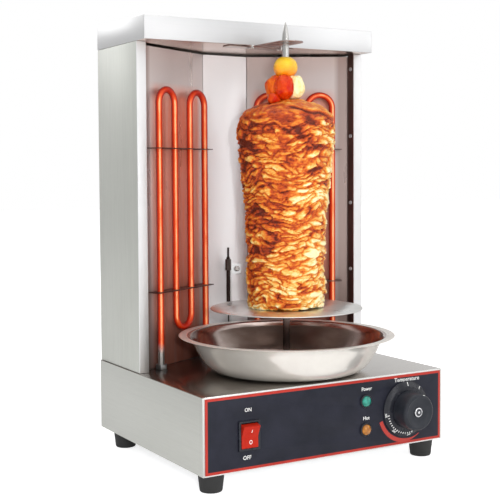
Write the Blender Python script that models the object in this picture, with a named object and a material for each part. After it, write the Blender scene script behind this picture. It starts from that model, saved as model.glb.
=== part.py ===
"""Vertical rotisserie broiler: a countertop machine that turns a stack of meat on an upright spit
beside two electric heaters. Metres, +Z up. Someone facing the controls looks along +Y and has +X
on their right. The origin is on the ground, under the middle of the whole machine."""

import math

import bmesh
import bpy
from mathutils import Matrix, Vector

# ---- Driving dimensions ------------------------------------------------------------------

GAP = 0.0003  # clearance between pieces that touch
SHEET = 0.001  # thickness of the folded stainless sheet
REACH = 0.005  # how far a cutter runs past the face that it opens

BASE_WIDTH = 0.320
BASE_FRONT_Y = -0.123
BACK_Y = 0.148
FOOT_HEIGHT = 0.020
DECK_Z = 0.104

FOOT_X = 0.142
FOOT_FRONT_Y = -0.107
FOOT_REAR_Y = 0.114
FOOT_RECESS = 0.005

VENT_COUNT = 8
VENT_FIRST_X = 0.020
VENT_PITCH = 0.012
VENT_WIDTH = 0.004
VENT_BOTTOM_Z = 0.042
VENT_TOP_Z = 0.082
GLAND_X = -0.110
GLAND_Z = 0.050
GLAND_BARREL = 0.0075

CABINET_WIDTH = 0.3174
CABINET_FRONT_Y = 0.034
CEILING_Z = 0.488
FRONT_FLANGE = 0.012  # width of the cabinet's front edge strips
SIDE_RETURN = 0.013  # depth of the strips that carry the reflector screws
REAR_FLANGE = 0.010

CANOPY_WIDTH = 0.318
CANOPY_FRONT_Y = 0.012
CANOPY_TOP_Z = 0.515

SPIT_Y = -0.0335
SPIT_RADIUS = 0.004
SPIT_TIP_Z = 0.511
DISC_TOP_Z = 0.1785
DISC_RADIUS = 0.0895
BOWL_RIM_Z = 0.147
BOWL_RIM_RADIUS = 0.1268
BOWL_HUB_RADIUS = 0.0216
COUPLING_RADIUS = 0.011
COUPLING_TOP_Z = 0.125
COUPLING_BOTTOM_Z = 0.1085
SHAFT_RADIUS = 0.005
BUSHING_RADIUS = 0.011
SPIT_SQUARE = 0.0056
SOCKET_DEPTH = 0.009

REFLECTOR_BACK_Y = 0.111
REFLECTOR_HALF = 0.0315  # half the width of the middle panel
REFLECTOR_TOP_Z = 0.4855
REFLECTOR_SHEET = 0.0008

HEATER_RADIUS = 0.004
HEATER_OFFSET = 0.0095  # from a reflector wing's face to the heater's middle plane
HEATER_FIRST_LEG = 0.022  # along the wing, from its outer edge
HEATER_PITCH = 0.0325
HEATER_TOP_Z = 0.436  # middle of the tube at the top of the bends
HEATER_BOTTOM_Z = 0.149
HEATER_END_Z = 0.082  # the terminals, under the deck
HEATER_SUPPORTS_Z = (0.196, 0.366)
HEATER_NUT = 0.0072
SUPPORT_DEPTH = 0.018

FASCIA_FRONT_Y = -0.124
FASCIA_THICKNESS = 0.0007
FASCIA_HALF = 0.1576
FASCIA_BOTTOM_Z = 0.0216
FASCIA_TOP_Z = 0.1022

SWITCH_X = -0.105
SWITCH_Z = 0.0583
SWITCH_BEZEL = (0.0260, 0.0320)
SWITCH_HOUSING = (0.0240, 0.0292)
SWITCH_OPENING = (0.0210, 0.0274)
BEZEL_FRONT_Y = -0.1260
ROCKER_AXIS_Y = -0.1237
ROCKER_HALF_WIDTH = 0.0101
ROCKER_TILT = math.radians(12)
LAMP_X = 0.0485
LAMP_BARREL = 0.0060
LAMPS_Z = {"power": 0.0775, "heat": 0.0450}
KNOB_X = 0.1054
KNOB_Z = 0.0624
KNOB_FRONT_Y = -0.1500

PROBE_X = -0.003
PROBE_Y = 0.100
PROBE_SCREW = (0.0156, 0.2122)

HOLDER_AXIS_Y = 0.0092
HOLDER_AXIS_Z = 0.48695
HOLDER_THICKNESS = 0.0012
LUG_X = 0.0205

VEGETABLE_WEDGES = {  # name: (direction in degrees from +X, finish)
    "tomato_wedge_left": (150, "tomato"),
    "tomato_wedge_front": (232, "tomato"),
    "onion_wedge": (300, "onion"),
    "tomato_wedge_right": (12, "tomato"),
}
CHERRY_TOMATO_DIRECTION = math.radians(191)

ROUND = 32  # sides of a large round piece
SMALL_ROUND = 16  # sides of a small one

FINISHES = {  # base colour, metallic, roughness
    "brushed_steel": ((0.62, 0.62, 0.60), 1.0, 0.38),
    "polished_steel": ((0.70, 0.68, 0.66), 1.0, 0.12),
    "mirror_reflector": ((0.74, 0.71, 0.70), 1.0, 0.10),
    "zinc_steel": ((0.50, 0.51, 0.52), 1.0, 0.45),
    "heater_tube": ((0.80, 0.16, 0.05), 0.2, 0.45),
    "black_rubber": ((0.02, 0.02, 0.02), 0.0, 0.75),
    "black_plastic": ((0.03, 0.03, 0.035), 0.0, 0.40),
    "printed_panel": ((0.035, 0.038, 0.055), 0.0, 0.45),
    "red_plastic": ((0.80, 0.05, 0.03), 0.0, 0.30),
    "green_lens": ((0.02, 0.42, 0.28), 0.0, 0.15),
    "amber_lens": ((0.75, 0.35, 0.05), 0.0, 0.15),
    "nylon": ((0.80, 0.79, 0.75), 0.0, 0.50),
    "probe_metal": ((0.10, 0.08, 0.07), 0.8, 0.50),
    "roast_meat": ((0.62, 0.27, 0.08), 0.0, 0.55),
    "tomato": ((0.80, 0.12, 0.03), 0.0, 0.30),
    "onion": ((0.86, 0.74, 0.42), 0.0, 0.40),
    "lemon": ((0.93, 0.60, 0.08), 0.0, 0.40),
}


# ---- Modelling helpers -------------------------------------------------------------------


def clear_scene():
    for old in list(bpy.data.objects):
        bpy.data.objects.remove(old, do_unlink=True)


def finish_material(name):
    """The material of that name, made the first time that it is asked for."""
    if name in bpy.data.materials:
        return bpy.data.materials[name]
    colour, metallic, roughness = FINISHES[name]
    material = bpy.data.materials.new(name)
    material.use_nodes = True
    shader = material.node_tree.nodes["Principled BSDF"]
    shader.inputs["Base Color"].default_value = (*colour, 1.0)
    shader.inputs["Metallic"].default_value = metallic
    shader.inputs["Roughness"].default_value = roughness
    return material


def add_piece(name, data, finish, at=(0, 0, 0), parent=None, tilt=(0, 0, 0)):
    """An object for a mesh or curve whose own zero is at the world point `at`."""
    data.materials.append(finish_material(finish))
    piece = bpy.data.objects.new(name, data)
    bpy.context.scene.collection.objects.link(piece)
    piece.parent = parent
    piece.location = Vector(at) - (parent.location if parent else Vector())
    piece.rotation_euler = tilt
    return piece


def add_pivot(name, at):
    """An empty on a joint's axis, which carries the pieces that move together."""
    pivot = bpy.data.objects.new(name, None)
    bpy.context.scene.collection.objects.link(pivot)
    pivot.location = at
    return pivot


def mesh_from(name, bm, smooth=False):
    bmesh.ops.recalc_face_normals(bm, faces=bm.faces)
    mesh = bpy.data.meshes.new(name)
    bm.to_mesh(mesh)
    bm.free()
    if smooth:
        mesh.shade_smooth()
        mesh.set_sharp_from_angle(angle=math.radians(35))
    return mesh


def block_mesh(name, low, high, bevel=0.0):
    """A box between two corners, its edges bevelled if a width is given."""
    size = Vector(high) - Vector(low)
    middle = (Vector(high) + Vector(low)) / 2
    bm = bmesh.new()
    bmesh.ops.create_cube(bm, size=1.0, matrix=Matrix.Translation(middle) @ Matrix.Diagonal((*size, 1)))
    if bevel:
        bmesh.ops.bevel(bm, geom=bm.edges[:], offset=bevel, segments=1, affect="EDGES")
    return mesh_from(name, bm)


def turned_mesh(name, profile, sides=ROUND, closed=False):
    """A profile of (radius, height) points turned about Z: a closed one leaves a hole in its middle."""
    bm = bmesh.new()
    points = [bm.verts.new((radius, 0, height)) for radius, height in profile]
    edges = [bm.edges.new(pair) for pair in zip(points, points[1:])]
    if closed:
        edges.append(bm.edges.new((points[-1], points[0])))
    bmesh.ops.spin(bm, geom=points + edges, cent=(0, 0, 0), axis=(0, 0, 1), angle=2 * math.pi, steps=sides)
    bmesh.ops.remove_doubles(bm, verts=bm.verts, dist=1e-6)
    return mesh_from(name, bm, smooth=True)


def ring_profile(inner, outer, bottom, top):
    return [(inner, bottom), (outer, bottom), (outer, top), (inner, top)]


def rod_profile(radius, bottom, top):
    return [(0, bottom), (radius, bottom), (radius, top), (0, top)]


def extruded_mesh(name, outline, bottom, top):
    """An outline of (x, y) points extruded from one height to another."""
    bm = bmesh.new()
    face = bm.faces.new([bm.verts.new((x, y, bottom)) for x, y in outline])
    grown = bmesh.ops.extrude_face_region(bm, geom=[face])
    lifted = [part for part in grown["geom"] if isinstance(part, bmesh.types.BMVert)]
    bmesh.ops.translate(bm, verts=lifted, vec=(0, 0, top - bottom))
    return mesh_from(name, bm)


def ellipsoid_mesh(name, radii, sides=SMALL_ROUND):
    bm = bmesh.new()
    bmesh.ops.create_uvsphere(
        bm, u_segments=sides, v_segments=sides * 2 // 3, radius=1.0, matrix=Matrix.Diagonal((*radii, 1))
    )
    return mesh_from(name, bm, smooth=True)


def arc(middle, radius, start, end, steps):
    """Points on an arc, with its angles in degrees anticlockwise from +X."""
    angles = [math.radians(start + (end - start) * k / steps) for k in range(steps + 1)]
    return [(middle[0] + radius * math.cos(a), middle[1] + radius * math.sin(a)) for a in angles]


def sheet_outline(path, thickness):
    """The outline of a folded sheet: the path, and the same path moved to its left by the thickness."""
    points = [Vector(point) for point in path]
    moved = []
    for k, point in enumerate(points):
        before = (point - points[k - 1]).normalized() if k else None
        after = (points[k + 1] - point).normalized() if k + 1 < len(points) else None
        directions = [d for d in (before, after) if d]
        normals = [Vector((-d.y, d.x)) for d in directions]
        middle = sum(normals, Vector((0, 0))).normalized()
        moved.append(point + middle * thickness / middle.dot(normals[0]))
    return [tuple(point) for point in points + moved[::-1]]


def helper(data, at=(0, 0, 0), tilt=(0, 0, 0)):
    """A shape that only cuts or joins: it is drawn as wire and isn't part of the machine."""
    tool = bpy.data.objects.new(data.name, data)
    bpy.context.scene.collection.objects.link(tool)
    tool.location = at
    tool.rotation_euler = tilt
    tool.hide_render = True
    tool.display_type = "WIRE"
    return tool


def shape_with(piece, operation, tools):
    for tool in tools:
        modifier = piece.modifiers.new(operation.lower(), "BOOLEAN")
        modifier.operation = operation
        modifier.solver = "EXACT"
        modifier.object = tool
    return piece


def cut(piece, *tools):
    return shape_with(piece, "DIFFERENCE", tools)


def fuse(piece, *tools):
    return shape_with(piece, "UNION", tools)


def block_tool(low, high):
    return helper(block_mesh("block_tool", low, high))


def upright_tool(at, radius, bottom, top, sides=SMALL_ROUND):
    """A round tool that stands at (x, y)."""
    return helper(turned_mesh("round_tool", rod_profile(radius, bottom, top), sides), at=(*at, 0))


def forward_tool(at, radius, back_y, front_y, sides=SMALL_ROUND):
    """A round tool that lies along Y at (x, z)."""
    profile = rod_profile(radius, -back_y, -front_y)
    return helper(turned_mesh("round_tool", profile, sides), at=(at[0], 0, at[1]), tilt=FACING_FRONT)


def tube_data(name, points, radius, scales=None):
    """A round tube through the points; scales multiply its radius point by point."""
    curve = bpy.data.curves.new(name, "CURVE")
    curve.dimensions = "3D"
    curve.bevel_depth = radius
    curve.bevel_resolution = 2
    curve.use_fill_caps = True
    spline = curve.splines.new("POLY")
    spline.points.add(len(points) - 1)
    for k, point in enumerate(points):
        spline.points[k].co = (*point, 1)
        spline.points[k].radius = scales[k] if scales else 1.0
    return curve


FACING_FRONT = (math.radians(90), 0, 0)  # turns local +Z to -Y
FACING_BACK = (math.radians(-90), 0, 0)  # turns local +Z to +Y


# ---- Base --------------------------------------------------------------------------------


def build_base():
    half = BASE_WIDTH / 2
    shell = add_piece(
        "base_shell",
        block_mesh("base_shell", (-half, BASE_FRONT_Y, FOOT_HEIGHT), (half, BACK_Y, DECK_Z)),
        "brushed_steel",
    )
    cut(
        shell,
        block_tool(
            (SHEET - half, BASE_FRONT_Y + SHEET, FOOT_HEIGHT - REACH),
            (half - SHEET, BACK_Y + REACH, DECK_Z - SHEET),
        ),
        upright_tool((0, SPIT_Y), BUSHING_RADIUS + GAP, DECK_Z - REACH, DECK_Z + REACH, ROUND),
        upright_tool((PROBE_X, PROBE_Y), 0.0025, DECK_Z - REACH, DECK_Z + REACH),
    )
    for side in (-1, 1):
        for leg in (0, 3):
            place = wing_point(side, heater_leg(leg), HEATER_OFFSET)
            cut(shell, upright_tool(place, HEATER_RADIUS + 2 * GAP, DECK_Z - REACH, DECK_Z + REACH, 10))
    cut(shell, *panel_openings(BASE_FRONT_Y - REACH, BASE_FRONT_Y + REACH))

    inside = half - SHEET - GAP
    add_piece(
        "base_bottom_plate",
        block_mesh(
            "base_bottom_plate",
            (-inside, BASE_FRONT_Y + SHEET + GAP, FOOT_HEIGHT),
            (inside, BACK_Y - SHEET - GAP, FOOT_HEIGHT + SHEET),
        ),
        "zinc_steel",
    )
    rear = add_piece(
        "base_rear_panel",
        block_mesh(
            "base_rear_panel",
            (-inside, BACK_Y - SHEET, FOOT_HEIGHT),
            (inside, BACK_Y, DECK_Z - SHEET - GAP),
        ),
        "brushed_steel",
    )
    cut(rear, forward_tool((GLAND_X, GLAND_Z), GLAND_BARREL + GAP, BACK_Y + REACH, BACK_Y - REACH))
    for k in range(VENT_COUNT):
        middle = VENT_FIRST_X + k * VENT_PITCH
        cut(
            rear,
            block_tool(
                (middle - VENT_WIDTH / 2, BACK_Y - REACH, VENT_BOTTOM_Z),
                (middle + VENT_WIDTH / 2, BACK_Y + REACH, VENT_TOP_Z),
            ),
        )


def panel_openings(back_y, front_y):
    """The openings that the front wall and the fascia share: switch, two lamps and thermostat shaft."""
    width, height = SWITCH_HOUSING
    switch = block_tool(
        (SWITCH_X - width / 2 - GAP, min(back_y, front_y), SWITCH_Z - height / 2 - GAP),
        (SWITCH_X + width / 2 + GAP, max(back_y, front_y), SWITCH_Z + height / 2 + GAP),
    )
    lamps = [
        forward_tool((LAMP_X, height), LAMP_BARREL + GAP, max(back_y, front_y), min(back_y, front_y))
        for height in LAMPS_Z.values()
    ]
    knob = forward_tool((KNOB_X, KNOB_Z), 0.005, max(back_y, front_y), min(back_y, front_y))
    return [switch, *lamps, knob]


def build_feet():
    """Four tapered rubber feet, hollow underneath where the screw goes in."""
    profile = [
        (0.0, 0.012),
        (FOOT_RECESS, 0.012),
        (FOOT_RECESS, 0.0),
        (0.0115, 0.0),
        (0.0123, 0.001),
        (0.0145, FOOT_HEIGHT - GAP),
        (0.0, FOOT_HEIGHT - GAP),
    ]
    for name, x, y in (
        ("foot_front_left", -FOOT_X, FOOT_FRONT_Y),
        ("foot_front_right", FOOT_X, FOOT_FRONT_Y),
        ("foot_rear_left", -FOOT_X, FOOT_REAR_Y),
        ("foot_rear_right", FOOT_X, FOOT_REAR_Y),
    ):
        add_piece(name, turned_mesh(name, profile, 16), "black_rubber", at=(x, y, 0))


def build_fascia():
    fascia = add_piece(
        "front_fascia",
        block_mesh(
            "front_fascia",
            (-FASCIA_HALF, FASCIA_FRONT_Y, FASCIA_BOTTOM_Z),
            (FASCIA_HALF, FASCIA_FRONT_Y + FASCIA_THICKNESS, FASCIA_TOP_Z),
        ),
        "printed_panel",
    )
    cut(fascia, *panel_openings(FASCIA_FRONT_Y - REACH, FASCIA_FRONT_Y + REACH))


def build_cord_gland():
    """The gland for the mains lead: a dome nut outside the rear panel, and its barrel inside."""
    bore = 0.0040
    panel = BACK_Y
    profile = [
        (bore, panel - 0.012),
        (GLAND_BARREL, panel - 0.012),
        (GLAND_BARREL, panel + GAP),
        (0.0110, panel + GAP),
        (0.0110, panel + 0.004),
        (0.0098, panel + 0.0045),
        (0.0098, panel + 0.009),
        (0.0075, panel + 0.012),
        (bore, panel + 0.012),
    ]
    gland = turned_mesh("cord_gland", profile, 16, closed=True)
    add_piece("cord_gland", gland, "black_plastic", at=(GLAND_X, 0, GLAND_Z), tilt=FACING_BACK)


# ---- Controls ----------------------------------------------------------------------------


def build_switch():
    def around(size, back_y, front_y):
        return (
            (SWITCH_X - size[0] / 2, front_y, SWITCH_Z - size[1] / 2),
            (SWITCH_X + size[0] / 2, back_y, SWITCH_Z + size[1] / 2),
        )

    fascia_gap_y = FASCIA_FRONT_Y - GAP
    body = add_piece(
        "switch_body",
        block_mesh("switch_body", *around(SWITCH_BEZEL, fascia_gap_y, BEZEL_FRONT_Y)),
        "black_plastic",
    )
    fuse(body, block_tool(*around(SWITCH_HOUSING, -0.0980, fascia_gap_y - SHEET)))
    cut(body, block_tool(*around(SWITCH_OPENING, -0.1090, BEZEL_FRONT_Y - REACH)))

    pivot = add_pivot("rocker_pivot", (SWITCH_X, ROCKER_AXIS_Y, SWITCH_Z))
    face, end, half_length = 0.0030, 0.00564, 0.0124
    outline = [
        (-half_length, end),
        (0, face),
        (half_length, end),
        (0.0126, -0.0020),
        (0.0060, -0.0080),
        (-0.0060, -0.0080),
        (-0.0126, -0.0020),
    ]
    rocker = extruded_mesh("switch_rocker", outline, -ROCKER_HALF_WIDTH, ROCKER_HALF_WIDTH)
    upright = Matrix.Rotation(ROCKER_TILT, 4, "X") @ Matrix(
        ((0, 0, 1, 0), (0, -1, 0, 0), (1, 0, 0, 0), (0, 0, 0, 1))
    )
    rocker.transform(upright)
    add_piece("switch_rocker", rocker, "red_plastic", at=pivot.location, parent=pivot)


def build_lamps():
    """Each lamp has a barrel with a ring in front of the fascia, and a domed lens in it."""
    fascia = -FASCIA_FRONT_Y
    body_profile = [
        (0.0045, fascia - 0.018),
        (LAMP_BARREL, fascia - 0.018),
        (LAMP_BARREL, fascia + GAP),
        (0.0078, fascia + GAP),
        (0.0078, fascia + 0.0012),
        (0.0070, fascia + 0.0020),
        (0.0061, fascia + 0.0020),
        (0.0061, fascia + 0.0008),
        (0.0045, fascia + 0.0008),
    ]
    lens_profile = [
        (0.0, fascia - 0.010),
        (0.0042, fascia - 0.010),
        (0.0042, fascia + 0.0011),
        (0.0058, fascia + 0.0011),
        (0.0058, fascia + 0.0026),
        (0.0046, fascia + 0.0040),
        (0.0025, fascia + 0.0047),
        (0.0, fascia + 0.0049),
    ]
    for name, lens in (("power", "green_lens"), ("heat", "amber_lens")):
        at = (LAMP_X, 0, LAMPS_Z[name])
        body = turned_mesh(f"lamp_{name}_body", body_profile, 16, closed=True)
        add_piece(f"lamp_{name}_body", body, "black_plastic", at=at, tilt=FACING_FRONT)
        cover = turned_mesh(f"lamp_{name}_lens", lens_profile, 16)
        add_piece(f"lamp_{name}_lens", cover, lens, at=at, tilt=FACING_FRONT)


def build_thermostat():
    shaft_radius = 0.0030
    body_front = -BASE_FRONT_Y - SHEET - GAP
    body_back = body_front - 0.032
    half_width, half_height = 0.020, 0.018
    body = add_piece(
        "thermostat_body",
        block_mesh(
            "thermostat_body",
            (KNOB_X - half_width, -body_front, KNOB_Z - half_height),
            (KNOB_X + half_width, -body_back, KNOB_Z + half_height),
            bevel=0.002,
        ),
        "black_plastic",
    )
    cut(body, forward_tool((KNOB_X, KNOB_Z), shaft_radius + GAP, -body_front + 0.006, -body_front - REACH))

    pivot = add_pivot("knob_pivot", (KNOB_X, 0, KNOB_Z))

    def turned_piece(name, profile, finish, sides, closed=False):
        mesh = turned_mesh(name, profile, sides, closed)
        return add_piece(name, mesh, finish, at=pivot.location, parent=pivot, tilt=FACING_FRONT)

    fascia = -FASCIA_FRONT_Y
    front = -KNOB_FRONT_Y
    hole = shaft_radius + GAP
    turned_piece(
        "thermostat_shaft",
        rod_profile(shaft_radius, body_front - 0.005, front - 0.007),
        "zinc_steel",
        SMALL_ROUND,
    )
    turned_piece(
        "knob_skirt",
        [
            (hole, fascia + 0.0006),
            (0.0310, fascia + 0.0006),
            (0.0322, fascia + 0.0016),
            (0.0322, fascia + 0.0030),
            (0.0300, fascia + 0.0042),
            (0.0208, fascia + 0.0046),
            (hole, fascia + 0.0046),
        ],
        "black_plastic",
        36,
        closed=True,
    )
    cap_radius = 0.0055
    turned_piece(
        "knob_grip",
        [
            (0.0, front - 0.0065),
            (hole, front - 0.0065),
            (hole, fascia + 0.0049),
            (0.0218, fascia + 0.0049),
            (0.0212, front - 0.0025),
            (0.0195, front - 0.0004),
            (0.0185, front),
            (0.0110, front - 0.0008),
            (cap_radius + GAP, front - 0.0012),
            (cap_radius + GAP, front - 0.0040),
            (0.0, front - 0.0040),
        ],
        "black_plastic",
        32,
    )
    turned_piece(
        "knob_cap",
        [
            (0.0, front - 0.0037),
            (cap_radius, front - 0.0037),
            (cap_radius, front - 0.0010),
            (0.0040, front - 0.0003),
            (0.0, front - 0.0001),
        ],
        "polished_steel",
        24,
    )


def build_probe():
    """The thermostat's sensing bulb stands behind the bowl; its capillary runs down through the deck."""
    bulb_top, bulb_bottom = 0.241, 0.168
    bulb_radius, capillary_scale, crimp_scale = 0.0025, 0.36, 0.55
    stations = [
        (bulb_top, crimp_scale),
        (0.2300, crimp_scale),
        (0.2270, 1.0),
        (bulb_bottom + 0.003, 1.0),
        (bulb_bottom, capillary_scale),
        (0.1200, capillary_scale),
        (0.0960, capillary_scale),
    ]
    points = [(PROBE_X, PROBE_Y, height) for height, _ in stations]
    scales = [scale for _, scale in stations]
    back = (KNOB_X, BASE_FRONT_Y + SHEET + GAP + 0.032 + GAP + bulb_radius, KNOB_Z)
    start, end = Vector(points[-1]), Vector(back)
    leave, arrive = Vector((0, 0, -0.060)), Vector((0, 0.120, 0))
    steps = 16
    for k in range(1, steps + 1):
        t = k / steps
        bend = (
            start * (1 - t) ** 3
            + 3 * (start + leave) * t * (1 - t) ** 2
            + 3 * (end + arrive) * t**2 * (1 - t)
            + end * t**3
        )
        points.append(tuple(bend))
        scales.append(capillary_scale)
    add_piece("sensor_bulb", tube_data("sensor_bulb", points, bulb_radius, scales), "probe_metal")

    strip_x, tab_end_x = 0.0015, 0.0220
    panel_face = REFLECTOR_BACK_Y - GAP
    path = [(tab_end_x, panel_face), (strip_x, panel_face), (strip_x, 0.101)]
    outline = sheet_outline(path, SHEET)
    strip = extruded_mesh("probe_clip", outline, DECK_Z + GAP, 0.221)
    clip = add_piece("probe_clip", strip, "polished_steel")
    open_x = strip_x + SHEET + 0.0015
    cut(
        clip,
        block_tool((open_x, 0.095, DECK_Z - REACH), (tab_end_x + REACH, REFLECTOR_BACK_Y, 0.2055)),
        block_tool((open_x, 0.095, 0.2190), (tab_end_x + REACH, REFLECTOR_BACK_Y, 0.2300)),
        forward_tool(PROBE_SCREW, 0.0021, REFLECTOR_BACK_Y, 0.105),
    )
    band = helper(
        turned_mesh("band_tool", ring_profile(0.0, bulb_radius + 0.0013, 0.212, 0.2260), SMALL_ROUND),
        at=(PROBE_X, PROBE_Y, 0),
    )
    bridge = block_tool((PROBE_X, 0.1000, 0.212), (strip_x + SHEET / 2, 0.1016, 0.2260))
    fuse(clip, band, bridge)
    cut(clip, upright_tool((PROBE_X, PROBE_Y), bulb_radius + GAP, 0.200, 0.240))

    head, shank = 0.0035, 0.0018
    seat = -(panel_face - SHEET)
    screw = [
        (0.0, seat - 0.0060),
        (shank, seat - 0.0060),
        (shank, seat + GAP),
        (head, seat + GAP),
        (head, seat + 0.0014),
        (0.0024, seat + 0.0024),
        (0.0, seat + 0.0026),
    ]
    mesh = turned_mesh("probe_screw", screw, SMALL_ROUND)
    piece = add_piece(
        "probe_screw", mesh, "polished_steel", at=(PROBE_SCREW[0], 0, PROBE_SCREW[1]), tilt=FACING_FRONT
    )
    recess_front = -seat - 0.0040
    for half_x, half_z in ((0.0018, 0.0004), (0.0004, 0.0018)):
        cut(
            piece,
            block_tool(
                (PROBE_SCREW[0] - half_x, recess_front, PROBE_SCREW[1] - half_z),
                (PROBE_SCREW[0] + half_x, -seat - 0.0012, PROBE_SCREW[1] + half_z),
            ),
        )


# ---- Drive -------------------------------------------------------------------------------


def build_drive():
    gearbox_top, gearbox_bottom, motor_bottom = 0.094, 0.064, 0.030
    half = 0.031
    motor = add_piece(
        "gear_motor",
        block_mesh(
            "gear_motor",
            (-half, SPIT_Y - half, gearbox_bottom),
            (half, SPIT_Y + half, gearbox_top),
            bevel=0.003,
        ),
        "zinc_steel",
    )
    fuse(
        motor,
        upright_tool((0, SPIT_Y + 0.003), 0.0275, motor_bottom, gearbox_bottom + 0.005, ROUND),
        upright_tool((0, SPIT_Y), 0.0090, gearbox_top - 0.005, gearbox_top + 0.004, 24),
    )
    cut(motor, upright_tool((0, SPIT_Y), SHAFT_RADIUS + GAP, 0.074, gearbox_top + REACH, 24))

    plate = gearbox_top + GAP
    outer, inner, rise = 0.058, 0.042, DECK_Z - SHEET - GAP
    path = [
        (-outer, rise),
        (-inner, rise),
        (-inner, plate + SHEET),
        (inner, plate + SHEET),
        (inner, rise),
        (outer, rise),
    ]
    bracket_half = 0.034
    hat = extruded_mesh("motor_bracket", sheet_outline(path, -SHEET), -bracket_half, bracket_half)
    bracket = add_piece("motor_bracket", hat, "zinc_steel", at=(0, SPIT_Y, 0), tilt=FACING_FRONT)
    cut(bracket, upright_tool((0, SPIT_Y), 0.0090 + GAP, plate - REACH, plate + REACH, 24))

    bushing = [
        (SHAFT_RADIUS + GAP, DECK_Z - 0.005),
        (BUSHING_RADIUS, DECK_Z - 0.005),
        (BUSHING_RADIUS, DECK_Z + GAP),
        (0.0150, DECK_Z + GAP),
        (0.0150, DECK_Z + 0.0025),
        (0.0135, DECK_Z + 0.0035),
        (SHAFT_RADIUS + GAP, DECK_Z + 0.0035),
    ]
    add_piece(
        "shaft_bushing", turned_mesh("shaft_bushing", bushing, 16, closed=True), "nylon", at=(0, SPIT_Y, 0)
    )

    pivot = add_pivot("spit_axis", (0, SPIT_Y, 0))
    socket_bottom = COUPLING_TOP_Z - SOCKET_DEPTH
    shaft_top = socket_bottom - 0.0015
    shaft = turned_mesh("drive_shaft", rod_profile(SHAFT_RADIUS, 0.0745, shaft_top), 24)
    add_piece("drive_shaft", shaft, "zinc_steel", at=pivot.location, parent=pivot)
    coupling = add_piece(
        "drive_coupling",
        turned_mesh("drive_coupling", rod_profile(COUPLING_RADIUS, COUPLING_BOTTOM_Z, COUPLING_TOP_Z), 24),
        "polished_steel",
        at=pivot.location,
        parent=pivot,
    )
    socket = SPIT_SQUARE / 2 + GAP
    cut(
        coupling,
        upright_tool((0, SPIT_Y), SHAFT_RADIUS + GAP, COUPLING_BOTTOM_Z - REACH, shaft_top + GAP, 24),
        block_tool(
            (-socket, SPIT_Y - socket, socket_bottom),
            (socket, SPIT_Y + socket, COUPLING_TOP_Z + REACH),
        ),
    )
    build_spit(pivot, socket_bottom)


def build_spit(pivot, socket_bottom):
    """The lift-out spit, its disc, the meat and the vegetables that hold the stack's top."""
    shoulder = COUPLING_TOP_Z + GAP
    hole = SPIT_RADIUS + GAP

    def turned_piece(name, profile, finish, sides=ROUND, closed=True):
        mesh = turned_mesh(name, profile, sides, closed)
        return add_piece(name, mesh, finish, at=pivot.location, parent=pivot)

    rod = turned_piece(
        "spit_rod",
        [
            (0.0, shoulder),
            (SPIT_RADIUS, shoulder),
            (SPIT_RADIUS, SPIT_TIP_Z - 0.015),
            (SPIT_RADIUS * 0.6, SPIT_TIP_Z - 0.006),
            (0.0, SPIT_TIP_Z),
        ],
        "polished_steel",
        SMALL_ROUND,
        closed=False,
    )
    tang = SPIT_SQUARE / 2
    low = (-tang, SPIT_Y - tang, socket_bottom + GAP)
    high = (tang, SPIT_Y + tang, shoulder + 0.004)
    fuse(rod, block_tool(low, high))
    disc_bottom = DISC_TOP_Z - 0.0015
    hub_radius, hub_bottom = 0.0085, disc_bottom - 0.0080
    turned_piece(
        "meat_disc",
        [
            (hole, hub_bottom),
            (hub_radius, hub_bottom),
            (hub_radius, disc_bottom),
            (DISC_RADIUS - 0.0004, disc_bottom),
            (DISC_RADIUS, disc_bottom + 0.0004),
            (DISC_RADIUS, DISC_TOP_Z - 0.0004),
            (DISC_RADIUS - 0.0004, DISC_TOP_Z),
            (hole, DISC_TOP_Z),
        ],
        "polished_steel",
        48,
    )
    stack_bottom = DISC_TOP_Z + GAP
    turned_piece(
        "meat_stack",
        [
            (hole, stack_bottom),
            (0.0440, stack_bottom),
            (0.0455, stack_bottom + 0.010),
            (0.0460, 0.2300),
            (0.0480, 0.2800),
            (0.0515, 0.3200),
            (0.0550, 0.3550),
            (0.0572, 0.3850),
            (0.0560, 0.3980),
            (0.0500, 0.4075),
            (0.0350, 0.4120),
            (0.0190, 0.4145),
            (0.0100, 0.4155),
            (hole, 0.4215),
        ],
        "roast_meat",
        24,
    )
    build_vegetables(pivot, hole)


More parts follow.
